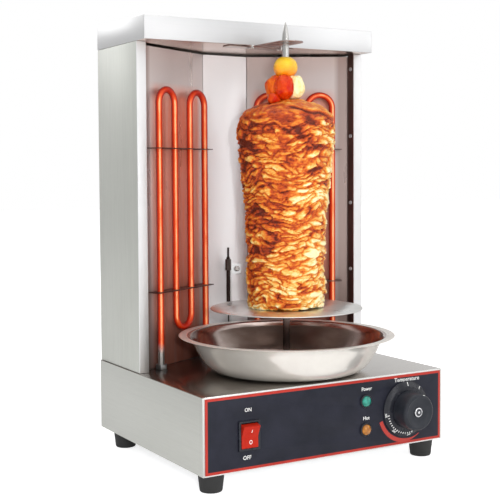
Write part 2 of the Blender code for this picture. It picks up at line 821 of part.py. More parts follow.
def build_vegetables(pivot, hole):
    wedge_z, wedge_out = 0.4365, 0.0122
    radii = (0.0108, 0.0108, 0.0108)
    names = list(VEGETABLE_WEDGES)
    directions = sorted(VEGETABLE_WEDGES[name][0] for name in names)
    for name in names:
        direction, finish = VEGETABLE_WEDGES[name]
        place = directions.index(direction)
        before = directions[place - 1] - (360 if place == 0 else 0)
        after = directions[(place + 1) % len(directions)] + (360 if place + 1 == len(directions) else 0)
        low = math.radians((before + direction) / 2)
        high = math.radians((direction + after) / 2)
        middle = math.radians(direction)
        outward = Vector((math.cos(middle), math.sin(middle), 0))
        mesh = ellipsoid_mesh(name, radii, 14)
        mesh.transform(Matrix.Rotation(middle, 4, "Z"))
        at = pivot.location + outward * wedge_out + Vector((0, 0, wedge_z))
        wedge = add_piece(name, mesh, finish, at=at, parent=pivot)
        far = 0.060
        inset = GAP / math.sin((high - low) / 2) * 0.6
        sector = [(0, 0), (far * math.cos(low), far * math.sin(low))]
        sector.append((far * math.cos((low + high) / 2), far * math.sin((low + high) / 2)))
        sector.append((far * math.cos(high), far * math.sin(high)))
        tool = helper(
            extruded_mesh("sector_tool", sector, wedge_z - 0.03, wedge_z + 0.03),
            at=pivot.location + Vector((math.cos((low + high) / 2), math.sin((low + high) / 2), 0)) * inset,
        )
        shape_with(wedge, "INTERSECT", [tool])
        cut(wedge, upright_tool((0, SPIT_Y), hole, wedge_z - 0.03, wedge_z + 0.03))
    outward = Vector((math.cos(CHERRY_TOMATO_DIRECTION), math.sin(CHERRY_TOMATO_DIRECTION), 0))
    add_piece(
        "cherry_tomato",
        ellipsoid_mesh("cherry_tomato", (0.0068, 0.0068, 0.0064), 14),
        "tomato",
        at=pivot.location + outward * 0.0185 + Vector((0, 0, 0.4220)),
        parent=pivot,
    )
    lemon = add_piece(
        "lemon",
        ellipsoid_mesh("lemon", (0.0142, 0.0142, 0.0130), 18),
        "lemon",
        at=pivot.location + Vector((0, 0, 0.4585)),
        parent=pivot,
    )
    cut(lemon, upright_tool((0, SPIT_Y), hole, 0.43, 0.49))


def build_bowl():
    """A pressed drip bowl with a flat rim, and a collar in its middle for the drive coupling."""
    wall = 0.0008
    floor = DECK_Z + GAP
    collar_top = floor + 0.0140
    outer = [
        (BOWL_HUB_RADIUS + 0.0014, floor),
        (0.0760, floor),
        (0.0900, floor + 0.0042),
        (0.0985, floor + 0.0120),
        (0.1060, floor + 0.0250),
        (0.1110, floor + 0.0350),
        (0.1190, BOWL_RIM_Z - wall),
        (BOWL_RIM_RADIUS, BOWL_RIM_Z - wall - 0.0006),
    ]
    inner = [
        (BOWL_RIM_RADIUS, BOWL_RIM_Z - 0.0006),
        (0.1190, BOWL_RIM_Z),
        (0.1103, floor + 0.0350 + wall * 0.6),
        (0.1053, floor + 0.0250 + wall * 0.4),
        (0.0979, floor + 0.0120 + wall * 0.6),
        (0.0896, floor + 0.0042 + wall * 0.9),
        (0.0758, floor + wall),
        (BOWL_HUB_RADIUS + 0.0024, floor + wall),
        (BOWL_HUB_RADIUS + wall, collar_top),
        (BOWL_HUB_RADIUS, collar_top),
    ]
    bowl = turned_mesh("drip_bowl", outer + inner, 48, closed=True)
    add_piece("drip_bowl", bowl, "polished_steel", at=(0, SPIT_Y, 0))


# ---- Cabinet, reflectors and heaters -------------------------------------------------------


def wing_point(side, along, off):
    """A point in plan: `along` from a reflector wing's outer edge, `off` in front of its face.
    The side is -1 for the left wing and 1 for the right one."""
    edge = Vector((CABINET_WIDTH / 2 - FRONT_FLANGE + 0.0006, CABINET_FRONT_Y + SIDE_RETURN + GAP))
    inner = Vector((REFLECTOR_HALF, REFLECTOR_BACK_Y))
    direction = (inner - edge).normalized()
    forward = Vector((direction.y, -direction.x))
    if forward.y > 0:
        forward = -forward
    place = edge + direction * along + forward * off
    return (side * place.x, place.y)


def heater_leg(number):
    return HEATER_FIRST_LEG + number * HEATER_PITCH


def mirrored(outline, side):
    return [(side * x, y) for x, y in outline]


def build_cabinet():
    wall = CABINET_WIDTH / 2
    bottom, top = DECK_Z + GAP, CEILING_Z - GAP
    path = [
        (wall - FRONT_FLANGE, CABINET_FRONT_Y + SIDE_RETURN),
        (wall - FRONT_FLANGE, CABINET_FRONT_Y),
        (wall, CABINET_FRONT_Y),
        (wall, BACK_Y),
        (wall - REAR_FLANGE, BACK_Y),
    ]
    outline = sheet_outline(path, SHEET)
    for name, side in (("cabinet_side_left", -1), ("cabinet_side_right", 1)):
        mesh = extruded_mesh(name, mirrored(outline, side), bottom, top)
        add_piece(name, mesh, "brushed_steel")
    half = wall - SHEET - GAP
    add_piece(
        "cabinet_back",
        block_mesh(
            "cabinet_back", (-half, BACK_Y - 2 * SHEET - GAP, bottom), (half, BACK_Y - SHEET - GAP, top)
        ),
        "brushed_steel",
    )


def build_reflectors():
    bottom = DECK_Z + GAP
    flange_x = CABINET_WIDTH / 2 - FRONT_FLANGE + SHEET + GAP
    for name, side in (("reflector_left", -1), ("reflector_right", 1)):
        outer = wing_point(1, 0.0, -REFLECTOR_SHEET)
        path = [
            (REFLECTOR_HALF + 2 * GAP, REFLECTOR_BACK_Y),
            wing_point(1, 0.0016, 0.0),
            (flange_x, outer[1] + 0.0004),
            (flange_x, CABINET_FRONT_Y + SHEET + 2 * GAP),
        ]
        outline = sheet_outline(path, REFLECTOR_SHEET)
        mesh = extruded_mesh(name, mirrored(outline, side), bottom, REFLECTOR_TOP_Z)
        add_piece(name, mesh, "mirror_reflector")
    middle = add_piece(
        "reflector_center",
        block_mesh(
            "reflector_center",
            (-REFLECTOR_HALF, REFLECTOR_BACK_Y, bottom),
            (REFLECTOR_HALF, REFLECTOR_BACK_Y + REFLECTOR_SHEET, REFLECTOR_TOP_Z),
        ),
        "mirror_reflector",
    )
    cut(middle, forward_tool(PROBE_SCREW, 0.0021, REFLECTOR_BACK_Y + REACH, REFLECTOR_BACK_Y - REACH))


def heater_points(side):
    """Down the outer leg's end, up and down the four legs through three bends, and out again."""
    radius = HEATER_PITCH / 2
    high, low = HEATER_TOP_Z - radius, HEATER_BOTTOM_Z + radius
    stations = [(heater_leg(0), HEATER_END_Z)]
    for bend in range(3):
        middle = heater_leg(bend) + radius
        if bend % 2 == 0:
            stations += arc((middle, high), radius, 180, 0, 9)
        else:
            stations += arc((middle, low), radius, 180, 360, 9)
    stations.append((heater_leg(3), HEATER_END_Z))
    return [(*wing_point(side, along, HEATER_OFFSET), height) for along, height in stations]


def build_heaters():
    hexagon = [
        (HEATER_NUT * math.cos(math.radians(a)), HEATER_NUT * math.sin(math.radians(a)))
        for a in range(0, 360, 60)
    ]
    for label, side in (("left", -1), ("right", 1)):
        name = f"heater_{label}"
        add_piece(name, tube_data(name, heater_points(side), HEATER_RADIUS), "heater_tube")
        for leg, where in ((0, "outer"), (3, "inner")):
            nut_name = f"heater_nut_{label}_{where}"
            at = (*wing_point(side, heater_leg(leg), HEATER_OFFSET), 0)
            nut = extruded_mesh(nut_name, hexagon, DECK_Z + GAP, DECK_Z + 0.006)
            piece = add_piece(nut_name, nut, "zinc_steel", at=at)
            cut(piece, upright_tool(at[:2], HEATER_RADIUS + 2 * GAP, DECK_Z, DECK_Z + 2 * REACH, 10))
        for height, where in zip(HEATER_SUPPORTS_Z, ("lower", "upper")):
            corners = [(0.010, GAP), (0.126, GAP), (0.126, SUPPORT_DEPTH), (0.010, SUPPORT_DEPTH)]
            outline = [wing_point(side, along, off) for along, off in corners]
            plate_name = f"heater_support_{label}_{where}"
            plate = add_piece(
                plate_name,
                extruded_mesh(plate_name, outline, height - SHEET / 2, height + SHEET / 2),
                "polished_steel",
            )
            for leg in range(4):
                place = wing_point(side, heater_leg(leg), HEATER_OFFSET)
                cut(plate, upright_tool(place, HEATER_RADIUS + 2 * GAP, height - REACH, height + REACH, 10))


# ---- Canopy ------------------------------------------------------------------------------


def build_canopy():
    half = CANOPY_WIDTH / 2
    canopy = add_piece(
        "canopy",
        block_mesh("canopy", (-half, CANOPY_FRONT_Y, CEILING_Z), (half, BACK_Y, CANOPY_TOP_Z)),
        "brushed_steel",
    )
    cut(
        canopy,
        block_tool(
            (SHEET - half, CANOPY_FRONT_Y + SHEET, CEILING_Z - REACH),
            (half - SHEET, BACK_Y - SHEET, CANOPY_TOP_Z - SHEET),
        ),
    )
    edge = SHEET + GAP
    add_piece(
        "canopy_underside",
        block_mesh(
            "canopy_underside",
            (edge - half, CANOPY_FRONT_Y + edge, CEILING_Z),
            (half - edge, BACK_Y - edge, CEILING_Z + SHEET),
        ),
        "mirror_reflector",
    )


def build_spit_holder():
    """The plate that steadies the spit's tip. It flips up on a cross rod in two lugs under the canopy's
    front edge. Its bar, behind the rod, rests against the canopy and keeps it level."""
    pivot = add_pivot("holder_axis", (0, HOLDER_AXIS_Y, HOLDER_AXIS_Z))
    tongue, bar = 0.0165, 0.0460
    bar_front, bar_back, end_middle = 0.0180, 0.0360, -0.0410
    fillet, corner = 0.0030, 0.0030
    right = (
        arc((0, end_middle), tongue, -90, 0, 10)
        + arc((tongue + fillet, bar_front - fillet), fillet, 180, 90, 4)
        + arc((bar - corner, bar_front + corner), corner, -90, 0, 4)
        + arc((bar - corner, bar_back - corner), corner, 0, 90, 4)
    )
    left = [(-x, y) for x, y in reversed(right) if x > 1e-6]
    outline = [(x, y - HOLDER_AXIS_Y) for x, y in right + left]
    half = HOLDER_THICKNESS / 2
    holder = add_piece(
        "spit_holder",
        extruded_mesh("spit_holder", outline, -half, half),
        "polished_steel",
        at=pivot.location,
        parent=pivot,
    )
    rod = turned_mesh("rod_tool", rod_profile(0.0012, -LUG_X - 0.0030, LUG_X + 0.0030), 12)
    fuse(holder, helper(rod, at=pivot.location, tilt=(0, math.radians(90), 0)))
    slot_back, slot_front, slot_half = -0.0333, -0.0363, 0.0050
    slot = arc((0, slot_back), slot_half, 0, 180, 10) + arc((0, slot_front), slot_half, 180, 360, 10)
    depth = HOLDER_AXIS_Z - REACH
    cut(holder, helper(extruded_mesh("slot_tool", slot, depth, HOLDER_AXIS_Z + REACH)))

    lug_half = 0.0015
    for name, side in (("holder_lug_left", -1), ("holder_lug_right", 1)):
        middle = side * LUG_X
        lug = add_piece(
            name,
            block_mesh(
                name, (middle - lug_half, 0.0062, 0.4834), (middle + lug_half, 0.0160, CEILING_Z - GAP)
            ),
            "polished_steel",
        )
        bore = turned_mesh("bore_tool", rod_profile(0.0012 + GAP, -0.004, 0.004), 12)
        cut(lug, helper(bore, at=(middle, HOLDER_AXIS_Y, HOLDER_AXIS_Z), tilt=(0, math.radians(90), 0)))


def build_terminal_block():
    """Where the gland's mains wires would be joined to the machine's own, on the bottom plate."""
    low = (-0.0850, 0.1050, FOOT_HEIGHT + SHEET + GAP)
    high = (-0.0350, 0.1270, 0.0400)
    block = add_piece("terminal_block", block_mesh("terminal_block", low, high), "nylon")
    for k in range(4):
        middle = low[0] + (k + 0.5) * (high[0] - low[0]) / 4
        cut(block, upright_tool((middle, (low[1] + high[1]) / 2), 0.0035, 0.0300, 0.0500, 10))


def main():
    clear_scene()
    build_base()
    build_feet()
    build_fascia()
    build_cord_gland()
    build_switch()
    build_lamps()
    build_thermostat()
    build_probe()
    build_drive()
    build_bowl()
    build_cabinet()
    build_reflectors()
    build_heaters()
    build_canopy()
    build_spit_holder()
    build_terminal_block()


main()
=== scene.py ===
"""The looks of the vertical rotisserie broiler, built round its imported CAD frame. Metres, +Z up.
The controls face -Y. Flat sheet pieces are the CAD shapes with softened edges; everything round,
the meat, the vegetables and the marks on the panel are modelled here."""

import math

import bmesh
import bpy
from mathutils import Matrix, Vector, noise


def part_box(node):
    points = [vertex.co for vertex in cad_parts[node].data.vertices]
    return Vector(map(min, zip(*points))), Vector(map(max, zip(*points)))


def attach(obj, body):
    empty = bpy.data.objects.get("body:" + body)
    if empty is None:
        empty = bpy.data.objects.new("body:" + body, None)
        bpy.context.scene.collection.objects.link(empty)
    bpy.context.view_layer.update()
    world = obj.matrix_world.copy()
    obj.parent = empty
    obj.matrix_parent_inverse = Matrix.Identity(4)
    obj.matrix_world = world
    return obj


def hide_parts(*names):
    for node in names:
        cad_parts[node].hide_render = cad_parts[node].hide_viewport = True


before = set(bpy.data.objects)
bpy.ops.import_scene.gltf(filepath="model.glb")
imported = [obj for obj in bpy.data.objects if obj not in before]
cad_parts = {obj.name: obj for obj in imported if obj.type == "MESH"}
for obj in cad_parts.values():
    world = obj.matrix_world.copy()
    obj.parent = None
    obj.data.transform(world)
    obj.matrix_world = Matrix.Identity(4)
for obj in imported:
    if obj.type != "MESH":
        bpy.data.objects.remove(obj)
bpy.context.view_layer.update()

# ---- Places taken from the frame ----


def centre(node):
    low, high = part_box(node)
    return (low + high) / 2


def low_of(node):
    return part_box(node)[0]


def high_of(node):
    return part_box(node)[1]


SPIT = Vector((centre("meat_disc").x, centre("meat_disc").y, 0))
SPIT_RADIUS = 0.004
DISC_TOP = high_of("meat_disc").z
DISC_RADIUS = (high_of("meat_disc").x - low_of("meat_disc").x) / 2
BOWL_RIM_Z = high_of("drip_bowl").z
BOWL_RIM_RADIUS = (high_of("drip_bowl").x - low_of("drip_bowl").x) / 2
BOWL_FLOOR = low_of("drip_bowl").z
BOWL_HUB_RADIUS = 0.0216
MEAT_BOTTOM = low_of("meat_stack").z
MEAT_TOP = high_of("meat_stack").z
FASCIA_LOW, FASCIA_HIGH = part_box("front_fascia")
FASCIA_Y = FASCIA_LOW.y
KNOB = centre("knob_skirt")
KNOB_FRONT_Y = low_of("knob_grip").y
DECK_Z = high_of("base_shell").z
GAP = 0.0003
PRINT_LIFT = 0.00008  # of the lettering off the fascia
FRONT_TURN = Matrix.Rotation(math.radians(90), 4, "X")  # turns a piece's own +Z to -Y

# ---- Node graphs ----


class Graph:
    """A node tree, and the node chains that the world and the materials below are made of."""

    def __init__(self, tree):
        self.tree = tree

    def node(self, kind, inputs=(), **settings):
        made = self.tree.nodes.new(f"ShaderNode{kind}")
        for key, value in settings.items():
            setattr(made, key, value)
        for key, value in dict(inputs).items():
            if isinstance(value, bpy.types.NodeSocket):
                self.tree.links.new(value, made.inputs[key])
            else:
                made.inputs[key].default_value = value
        return made

    def place(self, scale=(1, 1, 1), turn=(0, 0, 0), shift=(0, 0, 0)):
        """The piece's own coordinates, in metres, moved, turned and scaled."""
        own = self.node("TexCoord").outputs["Object"]
        moved = self.node("VectorMath", {0: own, 1: shift}, operation="ADD").outputs[0]
        mapping = self.node("Mapping", {"Vector": moved, "Scale": scale, "Rotation": turn})
        return mapping.outputs[0]

    def axis(self, vector, which):
        return self.node("SeparateXYZ", {0: vector}).outputs[which]

    def axes(self, shift=(0, 0, 0)):
        """The piece's own x, y and z."""
        own = self.place(shift=shift)
        return [self.axis(own, k) for k in range(3)]

    def size(self, value):
        return self.math("ABSOLUTE", value)

    def radial(self, shift):
        """Distance from an upright axis, angle about it in turns, and height, as one vector."""
        x, y, z = self.axes(shift)
        angle = self.math("ARCTAN2", y, x)
        return self.length(x, y), angle, z

    def noise(self, vector=(1, 1, 1), scale=1.0, detail=4.0, roughness=0.55, distortion=0.0):
        """Noise at a place, or in the piece's own coordinates scaled by three numbers."""
        place = vector if isinstance(vector, bpy.types.NodeSocket) else self.place(scale=vector)
        inputs = {"Vector": place, "Scale": scale, "Detail": detail, "Roughness": roughness}
        inputs["Distortion"] = distortion
        return self.node("TexNoise", inputs).outputs["Fac"]

    def cells(self, vector, scale=1.0, feature="F1"):
        made = self.node("TexVoronoi", {"Vector": vector, "Scale": scale}, feature=feature)
        return made.outputs["Distance"]

    def attribute(self, name):
        return self.node("Attribute", attribute_name=name).outputs["Fac"]

    def math(self, operation, a, b=0.0):
        return self.node("Math", {0: a, 1: b}, operation=operation).outputs[0]

    def times(self, a, b):
        return self.math("MULTIPLY", a, b)

    def plus(self, a, b):
        return self.math("ADD", a, b)

    def minus(self, a, b):
        return self.math("SUBTRACT", a, b)

    def length(self, a, b):
        return self.math("SQRT", self.plus(self.times(a, a), self.times(b, b)))

    def span(self, value, low=0.3, high=0.7, to_low=0.0, to_high=1.0):
        inputs = {"Value": value, "From Min": low, "From Max": high, "To Min": to_low, "To Max": to_high}
        return self.node("MapRange", inputs).outputs[0]

    def ramp(self, value, *stops):
        made = self.node("ValToRGB", {0: value})
        ramp = made.color_ramp
        while len(ramp.elements) < len(stops):
            ramp.elements.new(0.5)
        for element, (at, colour) in zip(ramp.elements, stops):
            element.position = at
            element.color = (*colour, 1.0)
        return made.outputs[0]

    def blend(self, factor, a, b, mode="MIX"):
        made = self.node("Mix", data_type="RGBA", blend_type=mode)
        colours = [s for s in made.inputs if s.type == "RGBA"]
        for socket, value in zip((made.inputs[0], *colours), (factor, a, b)):
            if isinstance(value, bpy.types.NodeSocket):
                self.tree.links.new(value, socket)
            elif isinstance(value, (tuple, list)):
                socket.default_value = (*value, 1.0)
            else:
                socket.default_value = value
        return [s for s in made.outputs if s.type == "RGBA"][0]


class Finish(Graph):
    """A material, whose constants are set on its shader."""

    def __init__(self, name, colour, roughness, **constants):
        self.material = bpy.data.materials.new(name)
        self.material.use_nodes = True
        super().__init__(self.material.node_tree)
        self.shader = self.tree.nodes["Principled BSDF"]
        self.shader.inputs["Base Color"].default_value = (*colour, 1.0)
        sockets = {"specular": "Specular IOR Level", "ior": "IOR", "emission": "Emission Strength"}
        for key, value in {"roughness": roughness, **constants}.items():
            self.shader.inputs[sockets.get(key, key.replace("_", " ").title())].default_value = value
        self.height = None

    def soft(self, weight, radius):
        """Light passes under the skin, by a radius in metres for each colour."""
        for key, value in (("Weight", weight), ("Radius", radius), ("Scale", 1.0)):
            self.shader.inputs[f"Subsurface {key}"].default_value = value

    def colour(self, socket):
        self.tree.links.new(socket, self.shader.inputs["Base Color"])
        return self

    def set(self, name, socket):
        self.tree.links.new(socket, self.shader.inputs[name])
        return self

    def bump(self, height, depth, strength=1.0):
        """Adds a layer of relief; depth is the height in metres of one unit."""
        inputs = {"Height": height, "Distance": depth, "Strength": strength}
        if self.height is not None:
            inputs["Normal"] = self.height
        self.height = self.node("Bump", inputs).outputs[0]
        self.tree.links.new(self.height, self.shader.inputs["Normal"])
        return self


def steel(name, tint, rough, grain, streak=0.10, relief=0.000006, smudge=0.08):
    """Stainless sheet. grain is how many grain lines a metre holds along x, y and z: few along
    the rolling direction and many across it."""
    f = Finish(name, tint, rough, metallic=1.0)
    fine = f.noise(grain, detail=3.0)
    coarse = f.noise([g / 6 for g in grain], detail=2.0)
    lines = f.plus(f.times(fine, 0.6), f.times(coarse, 0.4))
    handled = f.noise(scale=9.0, detail=5.0)
    dark = tuple(c * (1 - streak) for c in tint)
    bright = tuple(min(1.0, c * (1 + streak * 0.6)) for c in tint)
    f.grain = f.span(lines)
    f.tone = f.blend(f.grain, dark, bright)
    f.colour(f.tone)
    patch = f.span(handled, 0.35, 0.7, rough * (1 - smudge), rough * (1 + smudge * 2))
    f.set("Roughness", f.plus(patch, f.span(lines, 0.3, 0.7, -0.03, 0.03)))
    return f.bump(lines, relief)


def mirror(name, tint, rough, low_darkening, reach, metallic=0.6):
    """Bright reflector sheet: soft waves, wiping marks, and darker and browner towards the deck, up to `reach`
    above it.
    """
    f = Finish(name, tint, rough, metallic=metallic)
    height = f.axis(f.place(), 2)
    low_patches = f.noise((14, 14, 5), detail=6.0, roughness=0.65)
    low = f.span(height, DECK_Z + reach, DECK_Z, 0.0, 1.0)
    patchy = f.span(low_patches, 0.25, 0.75, 0.55, 1.0)
    amount = f.times(patchy, f.plus(f.math("POWER", low, 1.6), 0.04))
    wiped = f.noise((60, 60, 7), detail=5.0)
    f.set("Roughness", f.plus(f.span(wiped, 0.3, 0.75, rough, rough * 1.7), f.times(amount, 0.12)))
    # Darker and browner towards the deck, in patches.
    f.tone = f.blend(f.times(amount, low_darkening), tint, (0.20, 0.13, 0.11))
    f.colour(f.tone)
    return f.bump(f.noise((9, 9, 4), detail=1.0), 0.00035)


def wing_finish():
    """A reflector wing: heat tint and a painted red reflection of the heater behind the heater's legs, painted
    shade over the whole right wing, and painted shade along its outer edge.
    """
    f = mirror("heated_reflector_with_painted_light", (0.78, 0.715, 0.70), 0.24, 1.0, 0.24, 0.62)
    x, _, z = f.axes()
    outer = f.minus(high_of("reflector_right").x, f.size(x))
    behind = f.times(f.span(outer, 0.014, 0.026), f.span(outer, 0.114, 0.104))
    top = high_of("heater_right").z
    behind = f.times(behind, f.span(z, top + 0.006, top - 0.012))
    # Behind the legs: heat tint and a painted red reflection of the glowing heater.
    cloud = f.noise((120, 120, 9), detail=4.0)
    heat_tint_and_painted_reflection = f.times(behind, f.span(cloud, 0.3, 0.7, 0.65, 1.0))
    tinted = f.blend(heat_tint_and_painted_reflection, f.tone, f.blend(1.0, f.tone, (1.25, 0.48, 0.31), "MULTIPLY"))
    # The right wing is darkened all over: painted shade.
    right_wing_painted_shade = f.span(x, 0.0, 0.02)
    tinted = f.blend(right_wing_painted_shade, tinted, f.blend(1.0, tinted, (0.80, 0.76, 0.75), "MULTIPLY"))
    # Darker along the outer edge: painted shade in the corner.
    edge = f.span(outer, 0.018, 0.012, 0.0, 0.8)
    f.colour(f.blend(edge, tinted, f.blend(1.0, tinted, (0.55, 0.46, 0.43), "MULTIPLY")))
    return f


def clip_finish():
    """Bright on its tab, and dark on the band that wraps the bulb."""
    f = steel("clip_steel", (0.90, 0.90, 0.90), 0.30, (900, 900, 900), streak=0.04)
    wrap = low_of("probe_clip").x + 0.0068
    f.colour(f.blend(f.span(f.axis(f.place(), 0), wrap, wrap - 0.0006), f.tone, (0.11, 0.09, 0.08)))
    return f


def rod_finish():
    """Bright above the disc, and darkened below it by painted shade inside the bowl."""
    f = round_steel("rod_steel", (0.62, 0.61, 0.59), 0.18, SPIT_SHIFT, lines=1500.0)
    # Dark below the disc: painted shade inside the bowl.
    below = f.span(f.axis(f.place(), 2), DISC_TOP - 0.001, DISC_TOP - 0.003)
    f.colour(f.blend(below, f.tone, (0.14, 0.105, 0.095)))
    return f


def cap_finish():
    """A chromed ring round a dark enamelled centre with a small bright stud."""
    f = steel("cap_steel", (0.86, 0.86, 0.88), 0.18, (900, 900, 900), streak=0.04)
    x, _, z = f.axes(-KNOB)
    span = f.length(x, z)
    enamel = f.times(f.span(span, 0.0042, 0.0040), f.span(span, 0.0013, 0.0015))
    f.colour(f.blend(enamel, f.tone, (0.03, 0.032, 0.04)))
    f.set("Metallic", f.span(enamel, 0.0, 1.0, 1.0, 0.0))
    return f


def cabinet_side_finish():
    """Brushed outside, with a painted highlight on the front flange and painted shade inside."""
    f = steel("side_steel", (0.62, 0.63, 0.59), 0.46, ALONG_Z)
    low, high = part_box("cabinet_side_right")
    x, y, _ = f.axes()
    # Painted shade on the inside face.
    inside = f.span(f.size(x), high.x - 0.0003, high.x - 0.0007)
    # Painted highlight on the front flange.
    front = f.span(y, low.y + 0.0011, low.y + 0.0007)
    inside_painted_shade = f.blend(f.grain, (0.13, 0.085, 0.075), (0.20, 0.14, 0.125))
    f.colour(f.blend(front, f.blend(inside, f.tone, inside_painted_shade), (0.82, 0.82, 0.825)))
    return f


def base_finish():
    """The folded base: brushed sides, a smoother deck darkened by painted shade that deepens to the left, and
    painted highlights on the front edges.
    """
    f = steel("base_steel", (0.60, 0.605, 0.57), 0.42, ALONG_Y, streak=0.06)
    edge, side = low_of("base_shell").y, FASCIA_HIGH.x
    x, y, z = f.axes()
    deck = f.span(z, DECK_Z - 0.0009, DECK_Z - 0.0004)
    # Painted highlight along the front edges.
    margin = f.span(f.size(x), side - 0.0003, side + 0.0002, 1.0, 0.35)
    front = f.times(f.span(y, edge + 0.0012, edge + 0.0007), margin)
    along = f.noise(ALONG_X, detail=3.0)
    # Darkest at the left of the deck, lighter to the right: painted shade and painted reflection of the dark
    # cabinet.
    wear_and_painted_shade = f.blend(f.span(x, -0.12, 0.15), (0.28, 0.25, 0.22), (0.78, 0.75, 0.72))
    plate = f.blend(f.span(along), (0.90, 0.90, 0.90), (1.0, 1.0, 1.0))
    plate = f.blend(1.0, wear_and_painted_shade, plate, "MULTIPLY")
    f.colour(f.blend(front, f.blend(deck, f.tone, plate), (0.86, 0.86, 0.84)))
    f.set("Roughness", f.span(deck, 0.0, 1.0, 0.42, 0.25))
    return f


def bowl_finish():
    """Polished outside, a satin rim, and painted shade inside."""
    rim_start = 0.1162
    f = round_steel("bowl_steel", (0.86, 0.825, 0.77), 0.15, SPIT_SHIFT)
    x, y, _ = f.axes(SPIT_SHIFT)
    span = f.length(x, y)
    facing = f.node("TexCoord").outputs["Normal"]
    nx, ny, nz = (f.axis(facing, k) for k in range(3))
    outward = f.math("DIVIDE", f.plus(f.times(nx, x), f.times(ny, y)), span)
    outward = f.minus(f.times(outward, 0.8), f.times(nz, 0.6))
    within = f.span(span, 0.1176, rim_start)
    # Painted shade inside the bowl, in patches, with less metal shine there.
    inside = f.times(f.span(outward, -0.02, -0.20), within)
    shade_patches = f.noise((40, 40, 90), detail=5.0)
    bowl_painted_shade = f.blend(f.span(shade_patches), (0.40, 0.315, 0.285), (0.58, 0.48, 0.44))
    f.colour(f.blend(inside, f.tone, bowl_painted_shade))
    rim = f.span(span, rim_start, 0.1180, 0.0, 0.16)
    f.set("Roughness", f.plus(f.rough, rim))
    metallic_outside = f.span(inside, 0.0, 1.0, 0.56, 1.0)
    f.set("Metallic", f.math("MINIMUM", metallic_outside, f.span(rim, 0.0, 0.16, 1.0, 0.45)))
    return f


def round_steel(name, tint, rough, shift, lines=2600.0):
    """Turned or spun steel: the polishing lines run round an upright axis."""
    f = Finish(name, tint, rough, metallic=1.0)
    span, angle, z = f.radial(shift)
    ring = f.node("CombineXYZ", {0: f.times(span, lines), 1: f.times(angle, 1.3)})
    f.tree.links.new(f.times(z, lines), ring.inputs[2])
    fine = f.noise(ring.outputs[0], detail=3.0)
    wear = f.noise(scale=26.0, detail=6.0, roughness=0.6)
    f.tone = f.blend(f.span(wear, 0.35, 0.75), tint, tuple(c * 0.86 for c in tint))
    f.colour(f.tone)
    rings = f.span(fine, 0.3, 0.7, -0.03, 0.04)
    f.rough = f.plus(f.span(wear, 0.3, 0.8, rough * 0.8, rough * 1.5), rings)
    f.set("Roughness", f.rough)
    return f.bump(fine, 0.0000025)


def moulded(name, colour, rough, pebble=0.00002, coat=0.0, scale=2200.0, shade=0.25, gloss=0.5):
    """Moulded plastic or rubber: a fine pebble, and faint dust and handling marks."""
    f = Finish(name, colour, rough, coat_weight=coat, coat_roughness=0.12, specular=gloss)
    grain = f.noise(scale=scale, detail=2.0)
    dust = f.noise(scale=90.0, detail=5.0, roughness=0.6)
    light = tuple(min(1.0, c * (1 + shade) + 0.004) for c in colour)
    f.colour(f.blend(f.span(dust, 0.35, 0.75), tuple(c * (1 - shade * 0.4) for c in colour), light))
    f.set("Roughness", f.span(dust, 0.3, 0.8, rough * 0.85, min(1.0, rough * 1.25)))
    return f.bump(grain, pebble)


def lens(name, deep, bright):
    """A lit jewel: ribbed inside, so the light breaks up into facets."""
    f = Finish(name, bright, 0.12, coat_weight=0.6, coat_roughness=0.05, ior=1.49, emission=0.22)
    facets = f.cells(f.place(scale=(260, 260, 260)), feature="SMOOTH_F1")
    tone = f.ramp(facets, (0.05, bright), (0.45, tuple(c * 0.62 for c in bright)), (0.85, deep))
    f.colour(tone)
    f.set("Emission Color", tone)
    return f.bump(facets, 0.0003, 0.5)


def printed_panel():
    """The fascia's print: a red border round a charcoal field, with a faint orange peel."""
    f = Finish("printed_panel", (0.03, 0.03, 0.045), 0.40, specular=0.22)
    own = f.place()
    border, middle = 0.0029, (FASCIA_LOW + FASCIA_HIGH) / 2
    inside = []
    for which, half in ((0, (FASCIA_HIGH.x - FASCIA_LOW.x) / 2), (2, (FASCIA_HIGH.z - FASCIA_LOW.z) / 2)):
        off = f.size(f.minus(f.axis(own, which), middle[which]))
        edge = half - border
        inside.append(f.span(off, edge - 0.00008, edge + 0.00008, 0.0, 1.0))
    mask = f.math("MAXIMUM", *inside)
    cloud = f.noise(own, scale=45.0, detail=5.0)
    field = f.blend(f.span(cloud, 0.3, 0.75), (0.010, 0.011, 0.018), (0.017, 0.018, 0.029))
    red = f.blend(f.span(cloud, 0.3, 0.75), (0.36, 0.026, 0.018), (0.44, 0.036, 0.024))
    f.colour(f.blend(mask, field, red))
    f.set("Roughness", f.span(cloud, 0.3, 0.8, 0.30, 0.44))
    return f.bump(f.noise(own, scale=1500.0, detail=2.0), 0.000012)


